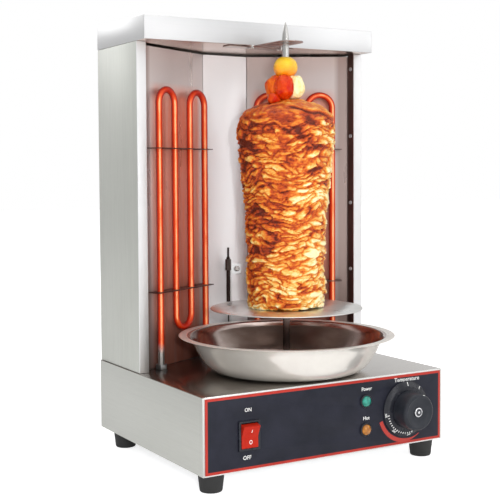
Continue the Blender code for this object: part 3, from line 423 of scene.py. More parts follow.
def heater_finish():
    """A hot sheathed element, glowing red: deep red round its back, orange on the side that faces the front,
    with a painted highlight in the middle of that side, and oxidised steel at its cold ends."""
    f = Finish("heater_tube", (0.6, 0.06, 0.01), 0.30, specular=0.3, coat_weight=0.3, coat_roughness=0.14)
    f.shader.inputs["Emission Strength"].default_value = 0.12
    own = f.place()
    height = f.axis(own, 2)
    cloud = f.noise((60, 60, 22), detail=5.0)
    line = f.plus(height, f.span(cloud, 0.3, 0.7, -0.002, 0.002))
    hot = f.span(line, 0.122, 0.134)
    # Lighter on the side facing the front and brightest in its middle: a painted highlight, which also glows.
    facing = f.node("TexCoord").outputs["Normal"]
    forward = f.node("VectorMath", {0: facing, 1: (-0.26, -0.965, 0.0)}, operation="DOT_PRODUCT")
    front = f.plus(forward.outputs["Value"], f.span(cloud, 0.3, 0.7, -0.03, 0.03))
    deep = ((0.15, (0.20, 0.005, 0.002)), (0.72, (0.42, 0.013, 0.002)), (0.92, (0.66, 0.060, 0.008)))
    red = f.ramp(front, *deep, (0.970, (0.84, 0.150, 0.036)), (0.995, (0.98, 0.420, 0.190)))
    scale_spots = f.span(f.noise(own, scale=420.0, detail=4.0), 0.56, 0.72)
    red = f.blend(f.times(scale_spots, 0.25), red, (0.24, 0.018, 0.006))
    grey = f.blend(f.span(cloud), (0.42, 0.40, 0.38), (0.60, 0.58, 0.55))
    f.colour(f.blend(hot, grey, red))
    f.set("Metallic", f.span(hot, 0.0, 1.0, 0.9, 0.0))
    f.set("Roughness", f.span(cloud, 0.3, 0.8, 0.26, 0.42))
    f.set("Emission Color", f.blend(hot, (0.0, 0.0, 0.0), red))
    return f.bump(f.noise(own, scale=900.0, detail=3.0), 0.00003)


def meat_finish():
    f = Finish("roast_meat", (0.6, 0.25, 0.07), 0.45, coat_weight=0.06, coat_roughness=0.22, specular=0.35)
    f.soft(0.10, (0.0030, 0.0012, 0.0006))
    tone = f.attribute("browning_and_painted_light")
    fibre = f.noise((150, 150, 620), detail=6.0, roughness=0.65, distortion=0.6)
    speck = f.noise(scale=900.0, detail=3.0, roughness=0.6)
    tone = f.plus(tone, f.span(fibre, 0.25, 0.75, -0.14, 0.14))
    tone = f.plus(tone, f.span(speck, 0.25, 0.75, -0.05, 0.05))
    burnt = ((0.02, (0.120, 0.012, 0.002)), (0.18, (0.350, 0.036, 0.004)))
    roasted = ((0.36, (0.600, 0.095, 0.007)), (0.54, (0.760, 0.260, 0.026)))
    pale = ((0.72, (0.870, 0.550, 0.150)), (0.90, (0.960, 0.820, 0.480)))
    f.colour(f.ramp(tone, *burnt, *roasted, *pale))
    f.set("Roughness", f.span(fibre, 0.3, 0.75, 0.26, 0.58))
    f.bump(fibre, 0.0013, 1.0)
    return f.bump(speck, 0.00025)


def tomato_finish(name, skin, flesh):
    f = Finish(name, skin, 0.30, coat_weight=0.12, coat_roughness=0.12, specular=0.2)
    f.soft(0.12, (0.004, 0.0012, 0.0006))
    cloud = f.noise(scale=85.0, detail=4.0, distortion=0.5)
    ribs = f.noise((160, 160, 60), detail=3.0)
    spots = f.span(f.cells(f.place(), scale=1500.0), 0.05, 0.25, 1.0, 0.0)
    tone = f.plus(f.times(cloud, 0.7), f.times(ribs, 0.3))
    base = f.blend(f.span(tone, 0.38, 0.66), skin, flesh)
    f.colour(f.blend(f.times(spots, 0.10), base, tuple(min(1, c * 1.3 + 0.03) for c in flesh)))
    f.set("Roughness", f.span(ribs, 0.3, 0.75, 0.20, 0.42))
    return f.bump(ribs, 0.00015)


def citrus_finish():
    f = Finish("lemon_peel", (0.9, 0.5, 0.04), 0.36, coat_weight=0.2, coat_roughness=0.2)
    f.soft(0.12, (0.004, 0.002, 0.0006))
    own = f.place()
    low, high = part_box("lemon")
    height = f.span(f.axis(own, 2), low.z, high.z)
    cloud = f.noise(own, scale=70.0, detail=4.0)
    # Yellower at the top and redder at the bottom: painted light and painted shade.
    tone = f.plus(f.times(height, 0.55), f.times(cloud, 0.45))
    f.colour(f.ramp(tone, (0.15, (0.86, 0.20, 0.012)), (0.40, (0.94, 0.37, 0.010)), (0.62, (0.97, 0.60, 0.024))))
    pores = f.cells(own, scale=1100.0)
    f.set("Roughness", f.span(pores, 0.1, 0.6, 0.45, 0.26))
    return f.bump(pores, 0.00022)


def onion_finish():
    f = Finish("onion", (0.9, 0.8, 0.5), 0.28, coat_weight=0.4, coat_roughness=0.12)
    f.soft(0.15, (0.004, 0.003, 0.0015))
    warped = f.noise(scale=60.0, detail=3.0)
    own = f.place(scale=(250, 250, 60))
    veins = f.noise(own, detail=5.0, distortion=0.4)
    tone = f.plus(f.times(veins, 0.6), f.times(warped, 0.4))
    f.colour(f.ramp(tone, (0.30, (0.84, 0.42, 0.10)), (0.46, (0.93, 0.74, 0.34)), (0.66, (0.97, 0.90, 0.62))))
    f.set("Roughness", f.span(veins, 0.3, 0.7, 0.20, 0.36))
    return f.bump(veins, 0.0003)


def ink_finish(name, colour):
    f = Finish(name, colour, 0.5)
    wear_and_painted_shade = f.noise(scale=700.0, detail=4.0)
    f.colour(f.blend(f.span(wear_and_painted_shade, 0.45, 0.8), colour, tuple(c * 0.78 for c in colour)))
    f.set("Roughness", f.span(wear_and_painted_shade, 0.3, 0.8, 0.42, 0.62))
    return f.bump(wear_and_painted_shade, 0.00001)


ALONG_X = (40, 2400, 2400)
ALONG_Y = (2400, 40, 2400)
ALONG_Z = (2400, 2400, 40)
SPIT_SHIFT = (-SPIT.x, -SPIT.y, 0)
FINISHES = {
    "side_steel": cabinet_side_finish(),
    "plain_steel": steel("plain_steel", (0.60, 0.60, 0.575), 0.44, ALONG_Z),
    "canopy_steel": steel("canopy_steel", (0.70, 0.70, 0.705), 0.36, ALONG_X, streak=0.03),
    "base_steel": base_finish(),
    "underside_steel": steel("underside_steel", (0.68, 0.56, 0.50), 0.24, ALONG_X, streak=0.05),
    "small_steel": steel("small_steel", (0.68, 0.66, 0.64), 0.22, (900, 900, 900), streak=0.08),
    "support_steel": steel("support_steel", (0.17, 0.12, 0.11), 0.40, (900, 900, 900), streak=0.2),
    "holder_steel": steel("holder_steel", (0.44, 0.36, 0.33), 0.26, ALONG_X, streak=0.08),
    "clip_steel": clip_finish(),
    "cap_steel": cap_finish(),
    "mirror": mirror("mirror_reflector", (0.985, 0.975, 0.985), 0.30, 0.7, 0.030, 0.30),
    "heated_mirror_with_painted_light": wing_finish(),
    "zinc": steel("zinc_steel", (0.52, 0.53, 0.54), 0.42, (500, 500, 500), streak=0.2, relief=0.00002),
    "bowl_steel": bowl_finish(),
    "disc_steel": round_steel("disc_steel", (0.80, 0.80, 0.78), 0.32, SPIT_SHIFT),
    "rod_steel": rod_finish(),
    "heater": heater_finish(),
    "panel": printed_panel(),
    "rubber": moulded("black_rubber", (0.016, 0.016, 0.016), 0.62, pebble=0.00006, scale=1500.0),
    "plastic": moulded("black_plastic", (0.014, 0.015, 0.020), 0.26, pebble=0.000008, gloss=0.35),
    "grip": moulded("knob_plastic", (0.017, 0.019, 0.025), 0.34, pebble=0.00001, gloss=0.28),
    "red_plastic": moulded("red_plastic", (0.39, 0.014, 0.004), 0.32, 6e-6, 0.03, shade=0.10, gloss=0.15),
    "nylon": moulded("nylon", (0.74, 0.73, 0.69), 0.45, pebble=0.00003),
    "probe": steel("probe_metal", (0.07, 0.055, 0.05), 0.46, (600, 600, 600), streak=0.4, relief=0.00003),
    "motor": moulded("motor_paint", (0.10, 0.11, 0.12), 0.5, pebble=0.00006, scale=900.0),
    "green": lens("green_lens", (0.002, 0.075, 0.055), (0.014, 0.290, 0.215)),
    "amber": lens("amber_lens", (0.200, 0.060, 0.004), (0.500, 0.180, 0.012)),
    "meat": meat_finish(),
    "tomato": tomato_finish("tomato_skin", (0.50, 0.010, 0.001), (0.78, 0.085, 0.003)),
    "tomato_pale": tomato_finish("tomato_flesh", (0.60, 0.030, 0.001), (0.86, 0.230, 0.016)),
    "onion": onion_finish(),
    "lemon": citrus_finish(),
    "white_ink": ink_finish("white_ink", (0.82, 0.82, 0.80)),
    "red_ink": ink_finish("red_ink", (0.42, 0.034, 0.024)),
}


# ---- Pieces ----


def ease(value, low, high):
    t = min(1.0, max(0.0, (value - low) / (high - low)))
    return t * t * (3 - 2 * t)


def add_piece(name, mesh, body, slot, finish, replaced=()):
    """An object at the frame's origin that rides on a body and stands for the CAD nodes given."""
    mesh.materials.clear()
    mesh.materials.append(FINISHES[finish].material)
    piece = bpy.data.objects.new(name, mesh)
    bpy.context.scene.collection.objects.link(piece)
    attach(piece, body)
    if replaced:
        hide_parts(*replaced)
    return piece


def mesh_from(bm, degrees=38):
    bmesh.ops.recalc_face_normals(bm, faces=bm.faces)
    mesh = bpy.data.meshes.new("mesh")
    bm.to_mesh(mesh)
    bm.free()
    mesh.shade_smooth()
    mesh.set_sharp_from_angle(angle=math.radians(degrees))
    return mesh


FLAT, SHARP = math.radians(1), math.radians(32)


def softened(node, body, slot, finish, width, segments=2):
    """The CAD shape with its flat faces made whole and its edges rounded."""
    bm = bmesh.new()
    bm.from_mesh(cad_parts[node].data)
    bmesh.ops.remove_doubles(bm, verts=bm.verts, dist=1e-6)
    bmesh.ops.dissolve_limit(bm, angle_limit=FLAT, verts=bm.verts, edges=bm.edges)
    sharp = [e for e in bm.edges if len(e.link_faces) == 2 and e.calc_face_angle(0) > SHARP]
    if width:
        shape = {"offset_type": "OFFSET", "profile": 0.6, "affect": "EDGES", "clamp_overlap": True}
        bmesh.ops.bevel(bm, geom=sharp, offset=width, segments=segments, **shape)
    return add_piece(f"{node}_formed", mesh_from(bm), body, slot, finish, (node,))


def moved(bm, matrix):
    bmesh.ops.transform(bm, matrix=matrix, verts=bm.verts)
    return bm


def through(points, steps=4):
    """A smooth run through the points (Catmull-Rom), steps to a stretch."""
    ends = [2 * Vector(points[0]) - Vector(points[1]), *map(Vector, points)]
    ends.append(2 * Vector(points[-1]) - Vector(points[-2]))
    run = []
    for a, b, c, d in zip(ends, ends[1:], ends[2:], ends[3:]):
        bow, twist = 2 * a - 5 * b + 4 * c - d, 3 * b - a - 3 * c + d
        for k in range(steps):
            t = k / steps
            run.append(0.5 * (2 * b + (c - a) * t + bow * t**2 + twist * t**3))
    return [tuple(p) for p in run] + [tuple(points[-1])]


def profile_of(*points, radius=0.0, height=0.0):
    """A profile's points, given in millimetres from a radius and a height in metres."""
    return [(radius + r / 1000, height + z / 1000) for r, z in points]


def turned(profile, sides=96, at=(0, 0, 0), turn=None, ring=False):
    """A bmesh of a profile of (radius, height) turned about +Z, then turned and moved.
    A ring's profile is a closed loop; otherwise the first and last points are on the axis."""
    bm = bmesh.new()
    loops = []
    for radius, height in profile:
        if radius < 1e-7:
            loops.append([bm.verts.new((0, 0, height))])
            continue
        angles = [2 * math.pi * k / sides for k in range(sides)]
        loops.append([bm.verts.new((radius * math.cos(a), radius * math.sin(a), height)) for a in angles])
    pairs = list(zip(loops, loops[1:]))
    if ring:
        pairs.append((loops[-1], loops[0]))
    for one, two in pairs:
        for k in range(sides):
            m = (k + 1) % sides
            corners = [one[k % len(one)], one[m % len(one)], two[m % len(two)], two[k % len(two)]]
            corners = [v for n, v in enumerate(corners) if v not in corners[:n]]
            if len(corners) > 2:
                bm.faces.new(corners)
    return moved(bm, Matrix.Translation(at) @ (turn or Matrix.Identity(4)))


def skinned(bm, rings):
    """Faces between neighbouring rings of vertices, with both ends closed."""
    for one, two in zip(rings, rings[1:]):
        for a, b, c, d in zip(one, one[1:] + one[:1], two[1:] + two[:1], two):
            bm.faces.new((a, b, c, d))
    bm.faces.new(rings[0][::-1])
    bm.faces.new(rings[-1])
    return bm


def swept(points, radius, sides=24):
    """A bmesh tube along the points, with flat ends."""
    bm = bmesh.new()
    points = [Vector(p) for p in points]
    rings = []
    across = Vector((1, 0, 0))
    for n, point in enumerate(points):
        ahead = (points[min(n + 1, len(points) - 1)] - points[max(n - 1, 0)]).normalized()
        across = (across - ahead * across.dot(ahead)).normalized()
        up = ahead.cross(across)
        ring = []
        for k in range(sides):
            a = 2 * math.pi * k / sides
            ring.append(bm.verts.new(point + across * radius * math.cos(a) + up * radius * math.sin(a)))
        rings.append(ring)
    return skinned(bm, rings)


def join(*parts):
    """One bmesh out of several."""
    whole = parts[0]
    for part in parts[1:]:
        passing = bpy.data.meshes.new("passing")
        part.to_mesh(passing)
        part.free()
        whole.from_mesh(passing)
        bpy.data.meshes.remove(passing)
    return whole


def block(low, high, bevel=0.0):
    bm = bmesh.new()
    bmesh.ops.create_cube(bm, size=1)
    low, high = Vector(low), Vector(high)
    moved(bm, Matrix.Translation((low + high) / 2) @ Matrix.Diagonal((*(high - low), 1)))
    if bevel:
        bmesh.ops.bevel(bm, geom=bm.edges, offset=bevel, segments=2, profile=0.6, affect="EDGES")
    return bm


# ---- Sheet metal and other flat pieces ----

SHEET_PIECES = (  # slot, finish, edge width in millimetres, nodes
    ("brushed_steel", "base_steel", 0.35, "base_shell"),
    ("zinc_steel", "zinc", 0.3, "base_bottom_plate motor_bracket"),
    ("brushed_steel", "plain_steel", 0.3, "base_rear_panel cabinet_back"),
    ("brushed_steel", "side_steel", 0.4, "cabinet_side_left cabinet_side_right"),
    ("brushed_steel", "canopy_steel", 0.4, "canopy"),
    ("mirror_reflector", "underside_steel", 0.3, "canopy_underside"),
    ("mirror_reflector", "heated_mirror_with_painted_light", 0.2, "reflector_left reflector_right"),
    ("mirror_reflector", "mirror", 0.2, "reflector_center"),
    ("printed_panel", "panel", 0.2, "front_fascia"),
    ("black_plastic", "plastic", 0.4, "switch_body cord_gland"),
    ("black_plastic", "plastic", 0.3, "thermostat_body"),
    ("polished_steel", "clip_steel", 0.15, "probe_clip"),
    ("zinc_steel", "motor", 0.6, "gear_motor"),
    ("nylon", "nylon", 0.4, "shaft_bushing terminal_block"),
    ("polished_steel", "small_steel", 0.3, "holder_lug_left holder_lug_right"),
    ("probe_metal", "probe", 0.0, "sensor_bulb"),
)
for slot, finish, width, nodes in SHEET_PIECES:
    for node in nodes.split():
        softened(node, "machine", slot, finish, width / 1000)
for side in ("left", "right"):
    for place in ("outer", "inner"):
        softened(f"heater_nut_{side}_{place}", "machine", "zinc_steel", "zinc", 0.0004)
    for place in ("lower", "upper"):
        softened(f"heater_support_{side}_{place}", "machine", "polished_steel", "support_steel", 0.0002)
softened("spit_holder", "holder", "polished_steel", "holder_steel", 0.0003)
softened("switch_rocker", "rocker", "red_plastic", "red_plastic", 0.0006, segments=3)
softened("drive_shaft", "spit_drive", "zinc_steel", "zinc", 0.0004)
softened("drive_coupling", "spit_drive", "zinc_steel", "zinc", 0.0004)
softened("thermostat_shaft", "knob", "zinc_steel", "zinc", 0.0002)

# ---- Feet ----


def make_feet():
    for node in ("foot_front_left", "foot_front_right", "foot_rear_left", "foot_rear_right"):
        low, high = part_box(node)
        top, wide = high.z, (high.x - low.x) / 2
        profile = profile_of((0, 12), (5, 12), (5, 0), (10.8, 0), (11.6, 0.3), (12.1, 1.0), (12.4, 2.2))
        profile += profile_of((14.1, -3.0), height=top)
        profile += profile_of((-0.1, -1.2), (0, -0.6), (-0.6, 0), radius=wide, height=top)
        foot = turned([*profile, (0, top)], 64, (centre(node).x, centre(node).y, 0))
        add_piece(f"{node}_moulded", mesh_from(foot, 50), "machine", "black_rubber", "rubber", (node,))


make_feet()

# ---- Screws ----


def screw_head(at, direction, radius=0.0030, cross=True):
    """A pan head with a cross recess, proud of the surface at `at`, facing along direction."""
    dome = [(radius, 0.0), (radius, radius * 0.30), (radius * 0.86, radius * 0.55)]
    dome += [(radius * 0.55, radius * 0.70), (radius * 0.2, radius * 0.74), (0, radius * 0.74)]
    head = turned([(0, 0), *dome], 32)
    if cross:
        for vertex in head.verts:
            x, y, z = vertex.co
            if z > radius * 0.6 and (abs(x) < radius * 0.13 or abs(y) < radius * 0.13):
                vertex.co.z -= radius * 0.3
    turn = Vector(direction).to_track_quat("Z", "Y").to_matrix().to_4x4()
    return moved(head, Matrix.Translation(at) @ turn)


def make_screws():
    strip_x = high_of("cabinet_side_right").x - 0.012
    strip_y, first, last, count = 0.0405, 0.211, 0.469, 4
    for label, side in (("left", -1), ("right", 1)):
        heads = []
        for k in range(count):
            z = first + (last - first) * k / (count - 1)
            heads.append(screw_head((side * strip_x, strip_y, z), (-side, 0, 0), 0.0026))
        mesh = mesh_from(join(*heads), 30)
        add_piece(f"strip_screws_{label}", mesh, "machine", "zinc_steel", "zinc")
    back = high_of("base_rear_panel").y
    rear = []
    low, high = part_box("base_rear_panel")
    inset = 0.010
    for x in (low.x + inset, (low.x + high.x) / 2, high.x - inset):
        for z in (low.z + inset, high.z - inset):
            rear.append(screw_head((x, back - 0.0001, z), (0, 1, 0), 0.0026))
    mesh = mesh_from(join(*rear), 30)
    add_piece("rear_screws", mesh, "machine", "zinc_steel", "zinc")


make_screws()

# ---- Bowl, disc and rod ----


def make_bowl():
    wall, floor, rim = 0.0008, BOWL_FLOOR, BOWL_RIM_Z
    side = ((60, 0), (74, 0), (84, 1.4), (91, 4.8), (98.5, 12), (106, 25), (111, 35), (114.8, 40.2))
    outer = [(r, floor + z) for r, z in through(profile_of(*side), 5)]
    lip, edge, hub = rim - wall, BOWL_RIM_RADIUS, BOWL_HUB_RADIUS
    profile = [(hub + 0.0014, floor), (0.040, floor), *outer]
    profile += profile_of((116.2, -0.7), (117.8, -0.1), (120, 0), height=lip)
    profile += profile_of((-1, 0), (-0.3, 0.15), (0, 0.4), radius=edge, height=lip)
    profile += profile_of((-0.3, -0.15), (-1, 0), radius=edge, height=rim)
    profile += profile_of((120, 0), (117.2, -0.3), (115.6, -1), height=rim)
    profile += [(r - wall * 0.7, z + wall * 0.6) for r, z in reversed(outer)]
    profile += profile_of((3, 0.8), (1.4, 2.2), (0.8, 14), (0, 14), radius=hub, height=floor)
    bowl = mesh_from(turned(profile, 192, SPIT, ring=True), 60)
    add_piece("drip_bowl_spun", bowl, "bowl", "polished_steel", "bowl_steel", ("drip_bowl",))


make_bowl()


def make_disc():
    low, top = low_of("meat_disc").z, DISC_TOP
    bottom, hub, hole = top - 0.0015, 0.0085, SPIT_RADIUS + GAP
    disc = [(hole, low), (hub - 0.0006, low), (hub, low + 0.0006)]
    disc += [(hub, bottom - 0.0012), (hub + 0.0012, bottom)]
    edge = ((-0.7, -1.5), (-0.2, -1.2), (0, -0.75), (-0.2, -0.3), (-0.7, 0))
    disc += [*profile_of(*edge, radius=DISC_RADIUS, height=top), (hole, top)]
    mesh = mesh_from(turned(disc, 160, SPIT, ring=True), 50)
    add_piece("meat_disc_turned", mesh, "spit", "polished_steel", "disc_steel", ("meat_disc",))


def make_rod():
    low, tip = low_of("spit_rod").z, high_of("spit_rod").z
    shoulder, tang = high_of("drive_coupling").z + GAP, 0.0028
    rod = [(0, shoulder), (SPIT_RADIUS - 0.0004, shoulder), (SPIT_RADIUS, shoulder + 0.0004)]
    for share, below in ((1, 0.0185), (0.93, 0.0150), (0.62, 0.0070), (0.2, 0.0012), (0, 0)):
        rod.append((SPIT_RADIUS * share, tip - below))
    square = block(SPIT + Vector((-tang, -tang, low)), SPIT + Vector((tang, tang, shoulder + 0.001)), 0.0003)
    mesh = mesh_from(join(turned(rod, 48, SPIT), square), 40)
    add_piece("spit_rod_ground", mesh, "spit", "polished_steel", "rod_steel", ("spit_rod",))


make_disc()
make_rod()

# ---- Heaters ----

WING_OUTER = Vector((0.1473, 0.0473))  # plan corners of the right reflector wing's face
WING_INNER = Vector((0.0315, 0.1110))
HEATER_OFFSET = 0.0095
HEATER_FIRST_LEG = 0.022
HEATER_PITCH = 0.0325
HEATER_RADIUS = 0.004
HEATER_LOWEST_BEND = 0.149
HEATER_STATIONS = (0.13, 0.25)  # heights on the two outer legs


def wing_point(side, along, off):
    """A point in plan: along from the wing's outer edge and off in front of its face."""
    direction = (WING_INNER - WING_OUTER).normalized()
    forward = Vector((-direction.y, direction.x))
    if forward.y > 0:
        forward = -forward
    place = WING_OUTER + direction * along + forward * off
    return side * place.x, place.y


def make_heaters():
    bend = HEATER_PITCH / 2
    top = high_of("heater_left").z - HEATER_RADIUS - bend
    bottom = HEATER_LOWEST_BEND + bend
    end = low_of("heater_left").z
    legs = [HEATER_FIRST_LEG + k * HEATER_PITCH for k in range(4)]
    stations = [(legs[0], z) for z in (end, *HEATER_STATIONS)]
    steps = 20
    for k in range(3):
        middle = legs[k] + bend
        for n in range(steps + 1):
            turn = math.pi * n / steps
            rise = math.sin(turn) if k % 2 == 0 else -math.sin(turn)
            stations.append((middle - bend * math.cos(turn), (top if k % 2 == 0 else bottom) + bend * rise))
    stations += [(legs[3], z) for z in (*reversed(HEATER_STATIONS), end)]
    for label, side in (("left", -1), ("right", 1)):
        points = [(*wing_point(side, along, HEATER_OFFSET), z) for along, z in stations]
        mesh = mesh_from(swept(points, HEATER_RADIUS, 28), 50)
        add_piece(f"heater_{label}_bent", mesh, "machine", "heater_tube", "heater", (f"heater_{label}",))


make_heaters()

# ---- Meat ----


PAINTED_LIGHT_SIDE = Vector((0.62, -0.78, 0))  # the side given painted light; the opposite side gets painted shade
FLAP_MIDDLE = math.radians(-80)  # azimuth of the slice that hangs over the shoulder
FLAP_REACH = math.radians(46)


def flap(azimuth, z):
    """How far into the hanging slice a point is, and how deep in the shadow under its edge."""
    turn = (azimuth - FLAP_MIDDLE + math.pi) % (2 * math.pi) - math.pi
    across = 1 - ease(abs(turn), FLAP_REACH * 0.72, FLAP_REACH)
    edge = MEAT_TOP - 0.0165 - 0.0075 * turn / FLAP_REACH + 0.0012 * math.sin(azimuth * 9)
    shadow = ease(z, edge - 0.0035, edge) * (1 - ease(z, edge, edge + 0.001))
    return across * ease(z, edge, edge + 0.0012), across * shadow


def waves(place, wide, up, shift=(0, 0, 0)):
    """Smooth noise at a place in millimetres, whose waves are so wide and so high."""
    x, y, z = place
    return noise.noise(Vector((x / wide + shift[0], y / wide + shift[1], z / up + shift[2])))


def slice_relief(point):
    """How far the meat stands out at a point of its plain surface, and its tone there: how brown it is, with
    painted shade and painted light.
    Thin slices are pressed flat on the spit, so each cell of the pattern is wide and low."""
    place = (point - SPIT) * 1000
    x, y, z = place
    share = (point.z - MEAT_BOTTOM) / (MEAT_TOP - MEAT_BOTTOM)
    sway = waves(place, 30, 34)
    ripple = waves(place, 11, 8, (0, 0, 5))
    fray = waves(place, 4.5, 3, (0, 0, 9))
    bend = ripple * 0.30 + fray * 0.12
    q = Vector((x / 25 + bend, y / 25 - bend, z / 5.8 + sway * 1.9 + ripple * 0.50 + fray * 0.16))
    spans, seeds = noise.voronoi(q, distance_metric="DISTANCE", exponent=2.5)
    body = ease(spans[1] - spans[0], 0.0, 0.32)
    kind = noise.cell(seeds[0] * 9.7)
    lean = seeds[0].z - q.z
    thin = Vector((x / 8 + 40, y / 8, z / 2.3 + sway * 4))
    thin_spans, thin_seeds = noise.voronoi(thin, distance_metric="DISTANCE", exponent=2.5)
    thin_body = ease(thin_spans[1] - thin_spans[0], 0.0, 0.30)
    lump = waves(place, 34, 24, (3, 0, 0))
    rough = noise.fractal(Vector((x / 3.2, y / 3.2, z / 1.8)), 1.0, 2.0, 3)
    drape = ease(share, 0.86, 0.95)
    fold = waves(place, 12, 9, (7, 0, 0)) + 0.5 * waves(place, 5, 5, (0, 3, 0))
    crack, thin_crack = 1 - body, 1 - thin_body
    height = 1.6 * lump + 1.3 * kind + 1.2 * lean * body - 2.3 * crack - 0.6 * thin_crack + 0.35 * rough
    height += (0.6 * lump + 2.0 * fold + 0.3 * rough - height) * drape * 0.8
    char = waves(place, 24, 15, (11, 4, 2))
    lit_side_facing = Vector((x, y, 0)).normalized().dot(PAINTED_LIGHT_SIDE)
    # Darker in the cracks between slices and lighter on each slice's proud lower part: painted shade and painted
    # light.
    tone = 0.73 + 0.17 * kind + 0.12 * noise.noise(thin_seeds[0] * 5.3) - 0.42 * crack - 0.12 * thin_crack
    tone += 0.12 * lean * body - 0.22 * (share - 0.40) - 0.34 * ease(char, 0.10, 0.58)
    # Lighter on one side and darker on the other: painted light and painted shade.
    tone += 0.16 * ease(lit_side_facing, 0.2, 1.0) - 0.15 * ease(-lit_side_facing, -0.15, 0.75)
    tone += 0.12 * ease(share, 0.14, 0.02)
    # On the drape, lighter on the raised folds: painted light.
    tone += (0.31 + 0.40 * fold + 0.06 * thin_body - 0.08 * crack - tone) * drape * 0.9
    over, under = flap(math.atan2(y, x), point.z)
    tone += (0.50 + 0.20 * fold + 0.08 * thin_body - tone) * over * 0.8 - 0.40 * under
    height += 1.6 * over - 0.9 * under
    return height / 1000, tone


def make_meat():
    bottom, top, hole = MEAT_BOTTOM, MEAT_TOP, SPIT_RADIUS + GAP
    foot = profile_of((42, 0), (45, 2), (46, 11), height=bottom)
    side = profile_of((46.2, 230), (48, 280), (51.3, 320), (54.8, 355), (56.8, 380), (56, 395), (51, 405))
    dome = profile_of((40, 412.5), (27, 416.5), (17, 419.5), (10, 421.5))
    profile = through([*foot, *side, *dome, (hole, top + 0.0010)], 12)
    rows, sides = 250, 300
    lengths = [0.0]
    for one, two in zip(profile, profile[1:]):
        lengths.append(lengths[-1] + math.dist(one, two))
    bm = bmesh.new()
    tones = []
    rings = []
    stretch = 0
    for row in range(rows + 1):
        along = lengths[-1] * row / rows
        while stretch < len(lengths) - 2 and lengths[stretch + 1] < along:
            stretch += 1
        one, two = profile[stretch], profile[stretch + 1]
        t = (along - lengths[stretch]) / (lengths[stretch + 1] - lengths[stretch])
        radius, z = one[0] + (two[0] - one[0]) * t, one[1] + (two[1] - one[1]) * t
        ahead = Vector((two[0] - one[0], two[1] - one[1])).normalized()
        fade = ease(radius, 0.009, 0.020)
        ring = []
        for k in range(sides):
            a = 2 * math.pi * k / sides
            plain = SPIT + Vector((radius * math.cos(a), radius * math.sin(a), z))
            out, tone = slice_relief(plain)
            out = min(out, 0.0030) * fade
            reach = radius + out * ahead.y
            height = max(bottom, z - out * ahead.x)
            ring.append(bm.verts.new(SPIT + Vector((reach * math.cos(a), reach * math.sin(a), height))))
            tones.append(tone)
        rings.append(ring)
    skinned(bm, rings)
    mesh = bpy.data.meshes.new("meat")
    bm.to_mesh(mesh)
    bm.free()
    browning_and_painted_light = mesh.attributes.new("browning_and_painted_light", "FLOAT", "POINT")
    browning_and_painted_light.data.foreach_set("value", tones)
    mesh.shade_smooth()
    add_piece("meat_slices", mesh, "spit", "roast_meat", "meat", ("meat_stack",))


make_meat()

# ---- Vegetables ----


def lobe(radii, at, lumps, seed, planes=(), dimple=0.0, fineness=5):
    """A closed ellipsoid with soft lumps, cut flat where planes (point, normal) say, and with
    a dimple at its two poles where the spit goes in."""
    bm = bmesh.new()
    bmesh.ops.create_icosphere(bm, subdivisions=fineness, radius=1.0)
    for vertex in bm.verts:
        d = vertex.co.normalized()
        swell = 1 + lumps * noise.noise(d * 1.6 + Vector((seed, 0, 0))) + lumps * 0.35 * noise.noise(d * 4.5)
        swell -= dimple * math.exp(-((d.x**2 + d.y**2) / 0.035))
        vertex.co = Vector((d.x * radii[0], d.y * radii[1], d.z * radii[2])) * swell + Vector(at)
        for point, normal in planes:
            over = (vertex.co - point).dot(normal)
            if over > 0:
                vertex.co -= normal * over
    return bm


def make_vegetables():
    wedges = {  # direction in degrees from +X, finish
        "tomato_wedge_left": (150, "tomato_pale"),
        "tomato_wedge_front": (232, "tomato"),
        "onion_wedge": (300, "onion"),
        "tomato_wedge_right": (12, "tomato"),
    }
    ordered = sorted(wedges, key=lambda n: wedges[n][0])
    out, size, drop = 0.0122, 0.0118, 0.0016
    for n, name in enumerate(ordered):
        middle, finish = wedges[name]
        before = wedges[ordered[n - 1]][0] - (360 if n == 0 else 0)
        after = wedges[ordered[(n + 1) % 4]][0] + (360 if n == 3 else 0)
        planes = []
        for edge, sense in (((before + middle) / 2, -1), ((middle + after) / 2, 1)):
            a = math.radians(edge)
            normal = sense * Vector((-math.sin(a), math.cos(a), 0))
            planes.append((SPIT - normal * GAP / 2, normal))
        a = math.radians(middle)
        at = SPIT + Vector((out * math.cos(a), out * math.sin(a), centre(name).z - drop))
        slot = "onion" if finish == "onion" else "tomato"
        bm = lobe((size, size, size * 1.24), at, 0.13, 3.1 * n, planes)
        add_piece(f"{name}_cut", mesh_from(bm, 40), "spit", slot, finish, (name,))
    middle = centre("cherry_tomato") - Vector((0, 0, 0.0006))
    bm = lobe((0.0076, 0.0076, 0.0072), middle, 0.14, 9.0, fineness=4)
    small = mesh_from(bm, 60)
    add_piece("cherry_tomato_small", small, "spit", "tomato", "tomato", ("cherry_tomato",))
    middle = Vector((SPIT.x, SPIT.y, centre("lemon").z))
    bm = lobe((0.0141, 0.0141, 0.0129), middle, 0.035, 5.0, dimple=0.13)
    add_piece("lemon_whole", mesh_from(bm, 60), "spit", "lemon_peel", "lemon", ("lemon",))


make_vegetables()

# ---- Panel marks ----


